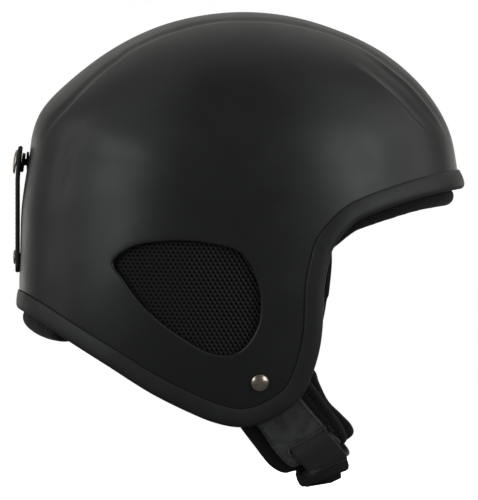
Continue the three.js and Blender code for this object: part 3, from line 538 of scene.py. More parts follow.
f = Finish("matte_shell_paint", 0.0095, 0.4, Specular_IOR_Level=0.5)
# Convex edges and crease lips are painted lighter: partly edge wear, partly a painted highlight along the lips.
edge_wear_and_highlight = f.within(f.node("ShaderNodeNewGeometry").outputs["Pointiness"], 0.51, 0.58)
share = f.add(f.times(f.noise(38, 4), 0.7), f.times(edge_wear_and_highlight, 0.5))
f.colour(f.within(share, 0.2, 0.9), (0.007425, 0.0075, 0.007575), (0.01568, 0.016, 0.01632))
f.rough(f.within(f.noise(22, 5), 0.3, 0.7), 0.37, 0.45)
PAINT = f.bump(f.noise(0.55, 2), 0.02, 0.5).bump(f.noise(6, 2), 0.03, 0.25).material

f = Finish("trim_rubber", 0.012, 0.5, Specular_IOR_Level=0.45)
f.colour(f.within(f.noise(14, 4), 0.3, 0.7), 0.012, 0.018)
f.rough(f.noise(9, 4), 0.45, 0.62)
RUBBER = f.bump(f.cells(0.7), 0.03, 0.5).bump(f.noise(5, 2), 0.05, 0.3).material

f = Finish("bead_foam", 0.009, 0.8)
beads = f.within(f.cells(3.2), 0.0, 0.75)
f.colour(beads, 0.014, 0.005).rough(f.noise(3, 3), 0.65, 0.9)
FOAM = f.bump(beads, 0.5, 0.6).bump(f.noise(0.6, 2), 0.05, 0.4).material

# The knit over the ears: rows of holes, each half a hole along from the last, in strands with a painted highlight
# that grows towards the front.
KNIT_PITCH, KNIT_ROW, KNIT_TILT = 2.85, 2.35, 1 * DEGREE
f = Finish("ear_knit", 0.009, 0.9, Specular_IOR_Level=0.1, Sheen_Weight=0.02, Sheen_Roughness=0.5)
across = f.add(f.times(f.x, math.cos(KNIT_TILT) / KNIT_PITCH), f.times(f.z, -math.sin(KNIT_TILT) / KNIT_PITCH))
up = f.add(f.times(f.x, math.sin(KNIT_TILT) / KNIT_ROW), f.times(f.z, math.cos(KNIT_TILT) / KNIT_ROW))
in_row = f.add(f.math("FRACT", up), -0.5)
shift = f.times(f.math("FLOOR", up), 0.5)
in_hole = f.add(f.math("FRACT", f.add(across, shift)), -0.5)
wide = f.add(in_hole, f.times(in_row, 0.18))
reach = f.math("SQRT", f.add(f.times(wide, wide), f.times(f.times(in_row, in_row), 0.72)))
thread = f.within(f.add(reach, f.times(f.add(f.noise(1.4, 2), -0.5), 0.1)), 0.2, 0.34)
strand = f.math("POWER", f.wave(f.add(f.add(across, f.times(up, 0.5)), -0.25), 1.0), 2.5)
# Painted highlight: the strands' colour is made lighter towards the front, and the thread between them darker there.
front = f.within(f.add(f.x, f.times(f.noise(14, 2), 20)), -45, 10, 0.1, 1.0)
lit = f.add(f.math("SUBTRACT", 0.42, f.times(front, 0.24)), f.times(f.times(strand, front), 1.1))
f.colour(f.times(thread, lit), 0.0003, (0.046, 0.049, 0.044)).rough(f.noise(2, 3), 0.7, 0.9)
KNIT = f.bump(thread, 0.5, 0.7).bump(strand, 0.4, 0.5).material

f = Finish("knit_lining", 0.004, 0.95, Sheen_Weight=0.06, Sheen_Roughness=0.45, Specular_IOR_Level=0.3)
loops = f.times(f.wave(f.add(f.x, f.z), 1.1), f.wave(f.math("SUBTRACT", f.add(f.x, f.y), f.z), 1.1))
f.colour(f.add(f.times(loops, 0.5), f.times(f.noise(6, 4), 0.5)), 0.002, 0.006)
f.rough(f.noise(1.5, 3), 0.8, 1.0)
LINING = f.bump(loops, 0.25, 0.6).bump(f.noise(7, 3), 0.8, 0.35).material

f = Finish("neck_fleece", 0.004, 0.95, Sheen_Weight=0.06, Sheen_Roughness=0.5)
tufts = f.noise(0.8, 5)
f.colour(f.within(tufts, 0.3, 0.7), 0.002, 0.006).rough(f.noise(2, 2), 0.85, 1.0)
FLEECE = f.bump(tufts, 0.5, 0.6).bump(f.noise(9, 3), 1.4, 0.4).material

f = Finish("strap_cloth", 0.004, 0.9, Sheen_Weight=0.05, Sheen_Roughness=0.5, Specular_IOR_Level=0.35)
warp = f.wave(f.add(f.x, f.times(f.z, 0.6)), 0.9)
weft = f.wave(f.math("SUBTRACT", f.z, f.times(f.x, 0.6)), 0.9)
weave = f.math("MAXIMUM", warp, f.times(weft, 0.8))
f.colour(f.add(f.times(weave, 0.5), f.times(f.noise(8, 4), 0.5)), 0.0025, 0.007)
f.rough(f.noise(3, 3), 0.75, 0.95)
CLOTH = f.bump(weave, 0.16, 0.6).bump(f.noise(5, 3), 0.5, 0.3).material

f = Finish("patch_suede", 0.02, 0.95, Sheen_Weight=0.35, Sheen_Roughness=0.4)
nap, cloud = f.noise(0.7, 6), f.noise(6, 4)
f.colour(f.within(f.add(f.times(nap, 0.45), f.times(cloud, 0.55)), 0.3, 0.72), 0.022, 0.095)
SUEDE = f.rough(nap, 0.85, 1.0).bump(nap, 0.2, 0.6).bump(cloud, 0.3, 0.3).material

# Webbing: cords along it, each crossed by picks that are set on a little from the cord beside.
f = Finish("woven_webbing", 0.015, 0.75, Sheen_Weight=0.1, Sheen_Roughness=0.4)
across, along, _ = f.attribute("weave")
shift = f.times(f.math("FLOOR", f.times(across, 1 / 1.6)), 0.6)
picks = f.wave(f.add(along, shift), 1.2)
weave = f.times(f.math("SQRT", f.wave(across, 1.6)), f.add(0.5, f.times(picks, 0.5)))
f.colour(f.add(f.times(weave, 0.4), f.times(f.noise(4, 4), 0.6)), 0.008, 0.026)
f.rough(f.noise(2, 3), 0.55, 0.8)
WEBBING = f.bump(weave, 0.14, 0.6).bump(f.noise(3, 3), 0.2, 0.3).material

f = Finish("buckle_plastic", 0.007, 0.3, Specular_IOR_Level=0.55)
f.colour(f.noise(12, 3), 0.005, 0.01).rough(f.noise(5, 5), 0.22, 0.4)
PLASTIC = f.bump(f.noise(0.4, 2), 0.02, 0.4).material

f = Finish("warm_nickel", (0.4, 0.35, 0.3), 0.25, metallic=1.0)
scuffs = f.within(f.noise(3.2, 4, (1, 1, 3)), 0.35, 0.7)
f.colour(scuffs, (0.38, 0.33, 0.28), (0.5, 0.44, 0.38)).rough(scuffs, 0.16, 0.24)
NICKEL = f.bump(f.noise(0.5, 2, (1, 1, 4)), 0.004, 0.2).material

f = Finish("black_oxide", (0.02, 0.018, 0.016), 0.35, metallic=1.0)
scuffs = f.within(f.noise(1.6, 6), 0.4, 0.7)
f.colour(scuffs, (0.012, 0.011, 0.01), (0.045, 0.038, 0.032)).rough(scuffs, 0.3, 0.45)
OXIDE = f.bump(f.noise(0.3, 3), 0.01, 0.4).material

f = Finish("retainer_vinyl", 0.009, 0.5)
f.colour(f.noise(7, 4), 0.006, 0.013).rough(f.noise(3, 4), 0.42, 0.62)
threads = f.times(f.wave(f.y, 0.9), f.wave(f.z, 0.9))
VINYL = f.bump(threads, 0.12, 0.6).bump(f.noise(0.5, 2), 0.04, 0.4).material

f = Finish("sewing_thread", 0.011, 0.7, Sheen_Weight=0.2, Sheen_Roughness=0.4)
twist = f.wave(f.add(f.add(f.x, f.y), f.z), 0.35)
f.colour(twist, 0.006, 0.02).rough(f.noise(1, 2), 0.5, 0.7)
THREAD = f.bump(twist, 0.05, 0.5).material

# ---- camera, light and floor -----------------------------------------------------------------------

LENS = 1500.0
SENSOR = 36.0
VIEW_HEIGHT = 305.0  # millimetres of the object's middle plane that the picture is high
VIEW_X, VIEW_Z = -0.6, -114.1

camera = bpy.data.objects.new("camera", bpy.data.cameras.new("camera"))
camera.data.lens = LENS
camera.data.sensor_width = SENSOR
camera.data.clip_start = 1
camera.data.clip_end = 100
camera.location = (VIEW_X * MM, -LENS / SENSOR * VIEW_HEIGHT * MM, VIEW_Z * MM)
camera.rotation_euler = (math.pi / 2, 0, 0)
bpy.context.scene.collection.objects.link(camera)
bpy.context.scene.camera = camera
bpy.context.scene.view_settings.view_transform = "Standard"


def softbox(name, place, aim, width, height, power, tint=(1, 1, 1)):
    lamp = bpy.data.objects.new(name, bpy.data.lights.new(name, "AREA"))
    lamp.data.shape = "RECTANGLE"
    lamp.data.size = width
    lamp.data.size_y = height
    lamp.data.energy = power
    lamp.data.color = tint
    lamp.visible_camera = False
    lamp.location = place
    lamp.rotation_euler = (Vector(aim) - Vector(place)).to_track_quat("-Z", "Y").to_euler()
    bpy.context.scene.collection.objects.link(lamp)


HELMET_MIDDLE = (0, 0, -0.1)
WARM, COOL = (1, 0.985, 0.95), (0.965, 1, 0.995)
softbox("light_top", (-0.1, 0.3, 1.5), HELMET_MIDDLE, 1.8, 1.2, 2.0)
softbox("light_back_high", (0, 1.1, 1.2), HELMET_MIDDLE, 2.4, 1.0, 2.6, WARM)
softbox("light_back", (0, 2.0, 0.5), HELMET_MIDDLE, 3.0, 1.6, 5.6, WARM)
softbox("light_back_low", (0, 2.0, -0.15), HELMET_MIDDLE, 3.0, 0.5, 3.8, WARM)
for side, way, far, near, high in (("left", -1, 3.9, 5.5, 1.5), ("right", 1, 5.2, 6.4, 2.1)):
    softbox("light_far_" + side, (1.6 * way, 0.1, 0.3), HELMET_MIDDLE, 1.0, 1.6, far)
    softbox("light_near_" + side, (1.2 * way, -1.0, 0.25), HELMET_MIDDLE, 0.9, 0.9, near, COOL)
    softbox("light_high_" + side, (1.2 * way, -0.5, 1.1), HELMET_MIDDLE, 1.0, 1.2, high, COOL)

world = bpy.data.worlds.new("studio")
bpy.context.scene.world = world
world.use_nodes = True
sky = world.node_tree
seen = sky.nodes.new("ShaderNodeLightPath").outputs["Is Camera Ray"]
paper = sky.nodes.new("ShaderNodeBackground")
room = sky.nodes["Background"]
blend = sky.nodes.new("ShaderNodeMixShader")
for background, strength in ((room, 0.16), (paper, 1.0)):
    background.inputs[0].default_value = (1, 1, 1, 1)
    background.inputs[1].default_value = strength
for number, socket in enumerate((seen, room.outputs[0], paper.outputs[0])):
    sky.links.new(socket, blend.inputs[number])
sky.links.new(blend.outputs[0], sky.nodes["World Output"].inputs[0])

FLOOR_Z, FLOOR_RADIUS, FLOOR_RINGS, FLOOR_AROUND = -262.0, 2200.0, 12, 96


def make_floor():
    points = [[0, 0, FLOOR_Z]]
    for reach in np.arange(1, FLOOR_RINGS + 1) * FLOOR_RADIUS / FLOOR_RINGS:
        points += [[reach * math.cos(a), reach * math.sin(a), FLOOR_Z]
                   for a in np.linspace(0, 2 * math.pi, FLOOR_AROUND, endpoint=False)]
    faces = [(0, 1 + i, 1 + (i + 1) % FLOOR_AROUND) for i in range(FLOOR_AROUND)]
    faces += bridge(range(1, len(points), FLOOR_AROUND), FLOOR_AROUND)
    f = Finish("floor_paper", 0.93, 0.9)
    seen = f.node("ShaderNodeLightPath").outputs["Is Camera Ray"]
    f.colour(seen, 0.24, 0.94)
    f.shader.inputs["Emission Color"].default_value = (1, 1, 1, 1)
    f.tree.links.new(seen, f.shader.inputs["Emission Strength"])
    mesh = bpy.data.meshes.new("floor")
    mesh.from_pydata((np.array(points) * MM).tolist(), [], faces)
    mesh.materials.append(f.bump(f.noise(4, 3), 0.05, 0.2).material)
    floor = bpy.data.objects.new("floor", mesh)
    bpy.context.scene.collection.objects.link(floor)


make_floor()

# ---- hard shell ------------------------------------------------------------------------------------

FLAT_SCALE = 118.0  # millimetres of the dome for one unit of its flat coordinates
EDGE_POINTS = 260


def flat_line(points):
    return to_flat(side_point(smooth_line(points, 160)))


CREASE_LINE, FRONT_LINE, GROOVE_LINE = (flat_line(line) for line in (CREASE, FRONT_CREASE, BACK_GROOVE))


def rise(value, low, high):
    """0 below low, 1 above high, smooth between."""
    t = np.clip((value - low) / (high - low), 0, 1)
    return t * t * (3 - 2 * t)


def hump(value, width):
    return np.exp(-(value / width) ** 2)


def line_length(line):
    return np.linalg.norm(np.diff(line, axis=0), axis=1).sum() * FLAT_SCALE


def near_line(flat, line, start, end):
    """Millimetres past a line towards the crown, and a fade over its first start and last end millimetres."""
    gap, side, place = line_distance(flat, line)
    place = place * FLAT_SCALE
    return gap * side * FLAT_SCALE, rise(place, 0, start) * rise(line_length(line) - place, 0, end)


def relief(flat):
    """How far the shell's creases stand proud of the plain dome, in millimetres."""
    crease, fade = near_line(flat, CREASE_LINE, 34, 24)
    height = -0.85 * fade * rise(-crease, -11, -2.6) * rise(crease, -3.4, 2.6)
    front, fade = near_line(flat, FRONT_LINE, 34, 16)
    height += fade * (-1.1 * rise(-crease, 2, 8) * rise(front, 0, 7) + 0.35 * hump(front + 0.8, 2.2))
    groove, fade = near_line(flat, GROOVE_LINE, 24, 30)
    return height - fade * 0.9 * hump(groove, 4.5)


def parallel_rows(line, ways, gap):
    """Lines of points beside a line, ways millimetres away."""
    along = resample(line, int(line_length(line) / gap))
    return [(along + beside(along) * way / FLAT_SCALE, gap / FLAT_SCALE) for way in ways]


# The way past the ear opening's edge, and the depth, of each ring round its lip.
OPENING_LIP = [(1.3, 0.0), (0.75, 0.1), (0.3, 0.4), (0.05, 0.9), (0.0, 1.6)]


def make_shell():
    edge = edge_line(EDGE, NOSE_ANGLE, NAPE_ANGLE, EDGE_POINTS)
    top = outline_point(np.linspace(360 + NAPE_ANGLE, NOSE_ANGLE, 240)[1:-1])
    outer_loop = to_flat(np.vstack([edge, top]))
    opening = side_point(smooth_line(EAR_OPENING, 220, closed=True))
    past = outward(opening, opening.mean(0))
    rings = [under_dome(opening + past * way, depth) for way, depth in OPENING_LIP]
    rows = parallel_rows(CREASE_LINE, [-4.6, -3.2, -2.2, -1.2, -0.3, 0.7, 1.7, 2.6, 3.6, 4.8, 6.2, 8, 10], 1.8)
    rows += parallel_rows(FRONT_LINE, [-5, -3, -1.6, -0.5, 0.7, 1.8, 3, 5], 1.9)
    verts, faces = fill_region(outer_loop, [to_flat(rings[0])], 0.02, rows)
    in_verts, in_faces = fill_region(outer_loop, [to_flat(opening)], 0.06)
    outside = from_flat(verts)
    outside = outside + dome_normal(outside) * relief(verts)[:, None]
    right = np.vstack([outside, *rings[1:], under_dome(from_flat(in_verts), SHELL)])
    count, hole = len(opening), len(outer_loop)
    first_in = len(right) - len(in_verts)
    all_faces = [tuple(f) for f in faces] + [tuple(f[::-1] + first_in) for f in in_faces]
    all_faces += bridge([hole, *range(len(outside), first_in, count), first_in + hole], count)
    all_faces += strip_faces(0, first_in, EDGE_POINTS, closed=False)
    all_faces += [tuple(i + len(right) for i in f[::-1]) for f in all_faces]
    make_piece("hard_shell", np.vstack([right, mirrored(right)]), all_faces, PAINT, "helmet",
               ["outer_shell"], merge=0.02)


make_shell()

# ---- edge trim, liner and the sweeps along the edge --------------------------------------------------

TRIM_JOINT = (50.8, -117.0)  # where the trim's two ends meet


def sweep(loop, stations, section):
    """Rings of points along a closed loop; section gives [depth, way past the edge] pairs at a share of the way."""
    normal, past = loop_frames(loop)
    rings = []
    for share, index in zip(np.linspace(0, 1, len(stations)), stations):
        pairs = np.array(section(share))
        face = onto_dome(loop[index] + past[index] * pairs[:, 1:2])
        rings.append(face - dome_normal(face) * pairs[:, 0:1])
    return rings


def make_trim():
    loop = both_sides(edge_line(EDGE, NOSE_ANGLE, NAPE_ANGLE, 300))
    joints = [int(np.argmin(np.linalg.norm(loop - side_point(TRIM_JOINT, side), axis=1))) for side in (-1, 1)]
    for joint in joints:
        half_gap = 0.45 * unit(loop[joint + 1] - loop[joint - 1])
        loop[joint - 1], loop[joint + 1] = loop[joint] - half_gap, loop[joint] + half_gap
    inner = SHELL + TRIM_EASE
    face = -TRIM_FIT - TRIM_WALL
    base, top = TRIM_BASE, -TRIM_COVER
    section = [
        [-TRIM_FIT, top + 0.7], [-TRIM_FIT, top + 0.2], [-0.75, top], [-1.05, top + 0.35],
        [-1.6, top + 1.6], [-2.3, -5.0], [-2.75, -2.6], [face - 0.1, -0.4], [face + 0.3, 1.2],
        [face + 1.2, base - 0.6], [face + 2.4, base], [inner, base], [inner + TRIM_LIP - 0.4, base - 0.1],
        [inner + TRIM_LIP, base - 0.6], [inner + TRIM_LIP, top + 1.4], [inner + 0.7, top + 1], [inner, top + 1.4],
        [inner, 0.9], [-TRIM_FIT, 0.9],
    ]

    def section_at(share):
        proud = 1 - 0.34 * math.sin(math.pi * share) ** 4
        return [[depth * proud if depth < -1 else depth, way] for depth, way in section]

    rings = sweep(loop, range(len(loop)), section_at)
    normal = loop_frames(loop)[0]
    for joint in joints:
        rings[joint][1:5] -= normal[joint] * np.linspace(0.6, 0.1, 4)[:, None]
    faces = ring_faces(len(rings), len(section), True)
    make_piece("rubber_trim", np.vstack(rings), faces, RUBBER, "helmet", ["edge_trim"])


def dome_patch(loop, middle, outer, inner, rings, bulge):
    """A piece of the dome between two depths, with a rounded rim that stands bulge past the loop."""
    count = len(loop)
    heart, arms = unit(middle - CENTRE), unit(loop - CENTRE)
    angle = np.arccos(np.clip(arms @ heart, -1, 1))[:, None]
    rows = [middle[None]]
    for share in np.arange(1, rings + 1) / rings:
        rows.append(CENTRE + 100 * unit(heart * np.sin((1 - share) * angle) + arms * np.sin(share * angle)))
    layers = [np.vstack([under_dome(row, depth) for row in rows]) for depth in (outer, inner)]
    past = outward(onto_dome(loop), middle)
    rim = [under_dome(loop + past * bulge * math.sqrt(1 - (2 * t - 1) ** 2), outer + (inner - outer) * t)
           for t in (0.12, 0.3, 0.5, 0.7, 0.88)]
    layer = len(layers[0])
    border = layer - count
    faces = []
    for start in (0, layer):
        faces += [(start, start + 1 + i, start + 1 + (i + 1) % count) for i in range(count)]
        faces += bridge(range(start + 1, start + layer, count), count)
    faces += bridge([border, *range(2 * layer, 2 * layer + len(rim) * count, count), layer + border], count)
    return np.vstack([*layers, *rim]), faces


CROWN = np.array([CENTRE[0], 0, CENTRE[2] + HALF_WIDTH])


def make_liner():
    loop = both_sides(edge_line(LINER_EDGE, LINER_NOSE_ANGLE, LINER_NAPE_ANGLE, 150))
    points, faces = dome_patch(loop, CROWN, LINER_TOP, LINER_BOTTOM, 44, 0.0)
    make_piece("foam_liner", points, faces, FOAM, "helmet", ["eps_liner"])


make_trim()
make_liner()

# ---- soft pads -------------------------------------------------------------------------------------

PRESSURE, FRAMES = 4.0, 20


def places_of(piece):
    places = np.zeros(3 * len(piece.data.vertices))
    piece.data.vertices.foreach_get("co", places)
    return places.reshape(-1, 3)


def plump(piece, voxel, cap):
    """Remeshes a pad and swells it with a short cloth simulation; no point moves further than cap."""
    remesh = piece.modifiers.new("remesh", "REMESH")
    remesh.mode, remesh.voxel_size = "VOXEL", voxel * MM
    apply_modifiers(piece)
    before = places_of(piece)
    cloth = piece.modifiers.new("cloth", "CLOTH")
    cloth.settings.use_pressure = True
    cloth.settings.uniform_pressure_force = PRESSURE
    cloth.settings.effector_weights.gravity = 0
    cloth.settings.quality = 4
    cloth.point_cache.frame_start, cloth.point_cache.frame_end = 1, FRAMES
    parent, piece.parent = piece.parent, None
    for number in range(1, FRAMES + 1):
        bpy.context.scene.frame_set(number)
    apply_modifiers(piece)
    piece.parent = parent
    bpy.context.scene.frame_set(1)
    move = places_of(piece) - before
    size = np.linalg.norm(move, axis=1, keepdims=True)
    move *= np.minimum(1, cap * MM / np.maximum(size, 1e-9))
    piece.data.vertices.foreach_set("co", (before + move).ravel())
    piece.data.update()
    smooth = piece.modifiers.new("smooth", "SMOOTH")
    smooth.factor, smooth.iterations = 0.5, 3
    finer = piece.modifiers.new("finer", "SUBSURF")
    finer.levels = finer.render_levels = 1
    apply_modifiers(piece)
    smooth_shade(piece)


def make_pad(node, loop, middle, outer=PAD_TOP, inner=PAD_BOTTOM, voxel=None):
    """A thin pad on the dome. One with a voxel size is laid out a little small, so that it can swell."""
    points, faces = dome_patch(loop, middle, outer, inner, 14, min((inner - outer) / 2, 2.4))
    pad = make_piece(node + "_soft", points, faces, LINING, "helmet", [node])
    if voxel:
        plump(pad, voxel, 1.2)


def shrunk_loop(outline, count, way):
    """An outline seen from the side, as a loop on the dome moved in by way millimetres."""
    loop = side_point(smooth_line(outline, count, closed=True))
    return onto_dome(loop - outward(loop, loop.mean(0)) * way)


def make_pads():
    ear, side = shrunk_loop(EAR_PAD, 110, 3.0), shrunk_loop(SIDE_PAD, 90, 2.4)
    ear_middle, side_middle = side_point(EAR_CENTRE), side_point([-8, -68])
    for name, turn in SIDES:
        make_pad("ear_pad_" + name, ear * turn, ear_middle * turn, 20.6, 30, voxel=3.0)
        make_pad("side_pad_" + name, side * turn, side_middle * turn)
    angles = np.linspace(0, 2 * math.pi, 90, endpoint=False)
    c, s, far = np.cos(angles), np.sin(angles), np.full(90, 100.0)
    make_pad("crown_pad", onto_dome(CENTRE + np.stack([50 * c, 28 * s, far], axis=1)), CROWN)
    rear_middle = np.array([-112.2, 0, CENTRE[2] - 22])
    make_pad("rear_pad", onto_dome(CENTRE + np.stack([-far, 42 * c, 24 * s - 22], axis=1)), rear_middle)


BEHIND_TRIM = SHELL + TRIM_EASE + TRIM_LIP + 0.9
EDGE_STATIONS = 160  # along each half of the edge
BROW = [[BEHIND_TRIM, -9], [BEHIND_TRIM, 3], [4.6, 4.1], [4.6, 7.5], [8, 10.6], [25, 10.6], [30, 6],
        [PAD_BOTTOM, -24], [PAD_TOP, -24], [PAD_TOP, -9]]
NAPE = [[BEHIND_TRIM, -9], [BEHIND_TRIM, 3.0], [2.6, 4.2], [1.2, 7], [1.8, 11.5], [6, 17], [16, 21.5],
        [29, 23], [36, 17], [37.5, 1], [33, -9]]


def below_edge(way, scale):
    """A way past the edge, with what is more than 4 millimetres past it scaled."""
    return 4 + (way - 4) * scale if way > 4 else way


def brow_at(share):
    scale = 1.2 - 1.1 * abs(2 * share - 1) ** 9
    return [[depth, below_edge(way, scale)] for depth, way in BROW]


def nape_at(share):
    scale = 1 - 0.4 * abs(2 * share - 1) ** 3
    return [[6 + (depth - 6) * scale, below_edge(way, scale)] for depth, way in NAPE]


def make_edge_roll(node, middle, reach, section, material, voxel, cap):
    """A roll along the edge, reach stations to each side of the middle one."""
    loop = both_sides(edge_line(EDGE, NOSE_ANGLE, NAPE_ANGLE, EDGE_STATIONS + 1))
    stations = [n % len(loop) for n in range(middle - reach, middle + reach + 1)]
    rings = sweep(loop, stations, section)
    faces = loft_faces(len(rings), len(rings[0]))
    roll = make_piece(node + "_soft", np.vstack(rings), faces, material, "helmet", [node])
    plump(roll, voxel, cap)


def make_ear_mesh():
    arms = smooth_line(EAR_OPENING, 160, closed=True) - EAR_CENTRE
    wide = side_point(EAR_CENTRE + arms * (1 + 5.5 / np.linalg.norm(arms, axis=1, keepdims=True)))
    middle = side_point(EAR_CENTRE)
    for name, turn in SIDES:
        points, faces = dome_patch(wide * turn, middle * turn, SHELL + 1.2, SHELL + 2.6, 24, 0.3)
        make_piece("ear_knit_" + name, points, faces, KNIT, "helmet", ["ear_mesh_" + name])


make_pads()
make_edge_roll("brow_pad", 0, 50, brow_at, LINING, 2.2, 0.4)
make_edge_roll("neck_roll", EDGE_STATIONS, 24, nape_at, FLEECE, 3.0, 1.6)
make_ear_mesh()

# ---- chin strap ------------------------------------------------------------------------------------

STRAP_DEPTH = 14.8
PAD_HALF = 3.0
GAP = 0.3
WEB_LIFT = PAD_HALF + GAP + STRAP_THICK / 2
PATCH_LOW = PAD_HALF + 2 * GAP + STRAP_THICK
PATCH_HIGH = PATCH_LOW + 1
OVER_LIFT = PATCH_HIGH + GAP + STRAP_THICK / 2

plane_spot = side_point([13, -212])
plane_normal = dome_normal(plane_spot)
plane_base = plane_spot - STRAP_DEPTH * plane_normal


def strap_plane(xz, lift):
    """Points of the strap's plane that are seen from the side at x, z, lifted outwards from it."""
    xz = np.asarray(xz, float)
    slope = (plane_normal[0] * (xz[..., 0] - plane_base[0]) + plane_normal[2] * (xz[..., 1] - plane_base[2]))
    y = plane_base[1] - slope / plane_normal[1]
    flat = np.stack([xz[..., 0], y, xz[..., 1]], axis=-1)
    return flat + np.asarray(lift, float)[..., None] * plane_normal


def left_copy(points):
    """Points of the right half mirrored, and turned a little about the rivets."""
    hub = [RIVET[0], 0, RIVET[1]]
    points = mirrored(points) - hub
    c, s = math.cos(-LEFT_STRAP_TILT * DEGREE), math.sin(-LEFT_STRAP_TILT * DEGREE)
    x, y, z = points[:, 0], points[:, 1], points[:, 2]
    return np.stack([x * c + z * s, y, z * c - x * s], axis=1) + hub


def on_side(points, side):
    return left_copy(points) if side == "left" else points


def inset(loop, way):
    """A closed 2-D loop moved in by way."""
    area = np.sum(loop[:, 0] * np.roll(loop[:, 1], -1) - loop[:, 1] * np.roll(loop[:, 0], -1))
    return loop + beside(loop, closed=True) * (way if area > 0 else -way)


def make_strap_sheet(name, node, side, outline, holes, low, high, edge_round, thickness, seams, material):
    """A flat sewn form with rounded edges: both faces follow a thickness that is 0 at its border."""
    step = 1.3
    rows = [(inset(outline, way), 0.55 * step) for way in (0.35, 0.9, 1.7, edge_round) if way <= edge_round]
    for hole in holes:
        rows += [(inset(hole, -way), 0.4 * step) for way in (0.35, 0.9) if way <= edge_round]
    for seam in seams:
        rows += [(seam + beside(seam) * way, 0.45 * step) for way in (-1.6, -0.9, -0.4, 0, 0.4, 0.9, 1.6)]
    flat, faces = fill_region(outline, holes, step, rows)
    gap = np.min([line_distance(flat, loop, closed=True)[0] for loop in [outline, *holes]], axis=0)
    t = np.clip(1 - gap / edge_round, 0, 1)
    middle = (low + high) / 2
    level = (high - low) / 2 * np.sqrt(np.maximum(1 - t * t, 0)) * thickness(flat, gap)
    points = np.vstack([strap_plane(flat, middle + level), strap_plane(flat, middle - level)])
    # The two faces share the points of the border.
    number, border = len(flat), gap < 1e-6
    second = np.arange(number) + number
    second[border] = np.nonzero(border)[0]
    used = np.concatenate([np.ones(number, bool), ~border])
    order = np.cumsum(used) - 1
    all_faces = order[np.vstack([faces, second[faces[:, ::-1]]])]
    return make_piece(name, on_side(points[used], side), all_faces, material, side + "_strap", [node])


def band_ring(edge, count):
    """The closed section of a flat band, from the curve round half of its edge: from the middle to the flat face."""
    end, low = edge[-1]
    upper = edge + [(w, low) for w in np.linspace(end, -end, count)[1:-1]] + [(-w, t) for w, t in edge[::-1]]
    return np.array(upper + [(w, -t) for w, t in upper[-2:0:-1]])


def make_ribbon(side, middles, across):
    """Webbing along a line; each point's place across, along and through it is kept for the weave."""
    half, low = STRAP_WIDTH / 2, STRAP_THICK / 2
    ring = band_ring([(half - low * (1 - math.cos(a)), low * math.sin(a))
                      for a in np.linspace(0, math.pi / 2, 4)], 26)
    ahead = unit(np.gradient(middles, axis=0))
    wide = unit(across - ahead * np.sum(across * ahead, axis=1, keepdims=True))
    up = np.cross(ahead, wide)
    along = np.concatenate([[0], np.cumsum(np.linalg.norm(np.diff(middles, axis=0), axis=1))])
    points = np.vstack([m + w * ring[:, :1] + u * ring[:, 1:] for m, w, u in zip(middles, wide, up)])
    places = np.vstack([np.stack([ring[:, 0], np.full(len(ring), way), ring[:, 1]], axis=1) for way in along])
    piece = make_piece("webbing_" + side, points, loft_faces(len(middles), len(ring)), WEBBING,
                       side + "_strap", ["strap_webbing_" + side])
    weave = piece.data.attributes.new("weave", "FLOAT_VECTOR", "POINT")
    weave.data.foreach_set("vector", places.ravel())


slit_angle = SLIT_ANGLE * DEGREE
slit_across = np.array([math.cos(slit_angle), math.sin(slit_angle)])
web_across = unit(strap_plane(slit_across, 0.0) - strap_plane([0, 0], 0.0))
buckle_angle = BUCKLE_ANGLE * DEGREE
buckle_across = np.array([math.cos(buckle_angle), 0, math.sin(buckle_angle)])
buckle_down = np.array([math.sin(buckle_angle), 0, -math.cos(buckle_angle)])
strap_way = np.array([SLIT_X - RIVET[0], SLIT_Z - RIVET[1]])
strap_length = float(np.linalg.norm(strap_way))


def on_strap(way, lift):
    return strap_plane(np.array(RIVET) + strap_way / strap_length * way, lift)


def buckle_spot(y, level=WEB_LEVEL):
    return np.array([BUCKLE_X, y, BUCKLE_Z]) + buckle_down * level


def bezier(a, b, c, d, count):
    t = np.linspace(0, 1, count)[:, None]
    return a * (1 - t) ** 3 + 3 * b * t * (1 - t) ** 2 + 3 * c * t ** 2 * (1 - t) + d * t ** 3


FLAT_STOPS = [(-8, WEB_LIFT), (8, WEB_LIFT), (strap_length - 3.4, WEB_LIFT), (strap_length + 3.2, OVER_LIFT),
              (strap_length + 14, OVER_LIFT)]


def webbing_path(flat, flat_across, to, start_reach, end_reach, tail=()):
    """The webbing's middle line and its direction across, from the rivet to the buckle."""
    leave = unit(flat[-1] - flat[-2])
    curve = bezier(flat[-1], flat[-1] + leave * start_reach, to + np.array([0, end_reach, 0]), to, 12)
    stops = np.vstack([flat, curve[1:], *tail])
    turn = np.concatenate([np.zeros(len(flat)), np.linspace(0, 1, 12)[1:], np.ones(len(tail))])
    across = flat_across + (buckle_across - flat_across) * turn[:, None]
    line = smooth_line(np.hstack([stops, across * 3]), 170)
    return line[:, :3], line[:, 3:]


def make_webbing():
    flat = np.array([on_strap(way, lift) for way, lift in FLAT_STOPS])
    make_ribbon("right", *webbing_path(flat, web_across, buckle_spot(FEMALE_END + 4.5), 9, -9))
    hub = np.array([RIVET[0], 0, RIVET[1]])
    left_across = left_copy((hub + web_across)[None])[0] - hub
    tail = [buckle_spot(-8)[None], buckle_spot(MALE_FRONT + 5)[None]]
    make_ribbon("left", *webbing_path(left_copy(flat), left_across, buckle_spot(12), 12, 22, tail))


STITCH, STITCH_GAP, THREAD_RADIUS = 2.1, 0.9, 0.32
STITCH_RINGS = ((-1, 0.35), (-0.7, 0.9), (0, 1.1), (0.7, 0.9), (1, 0.35))  # share of its half length, thickness


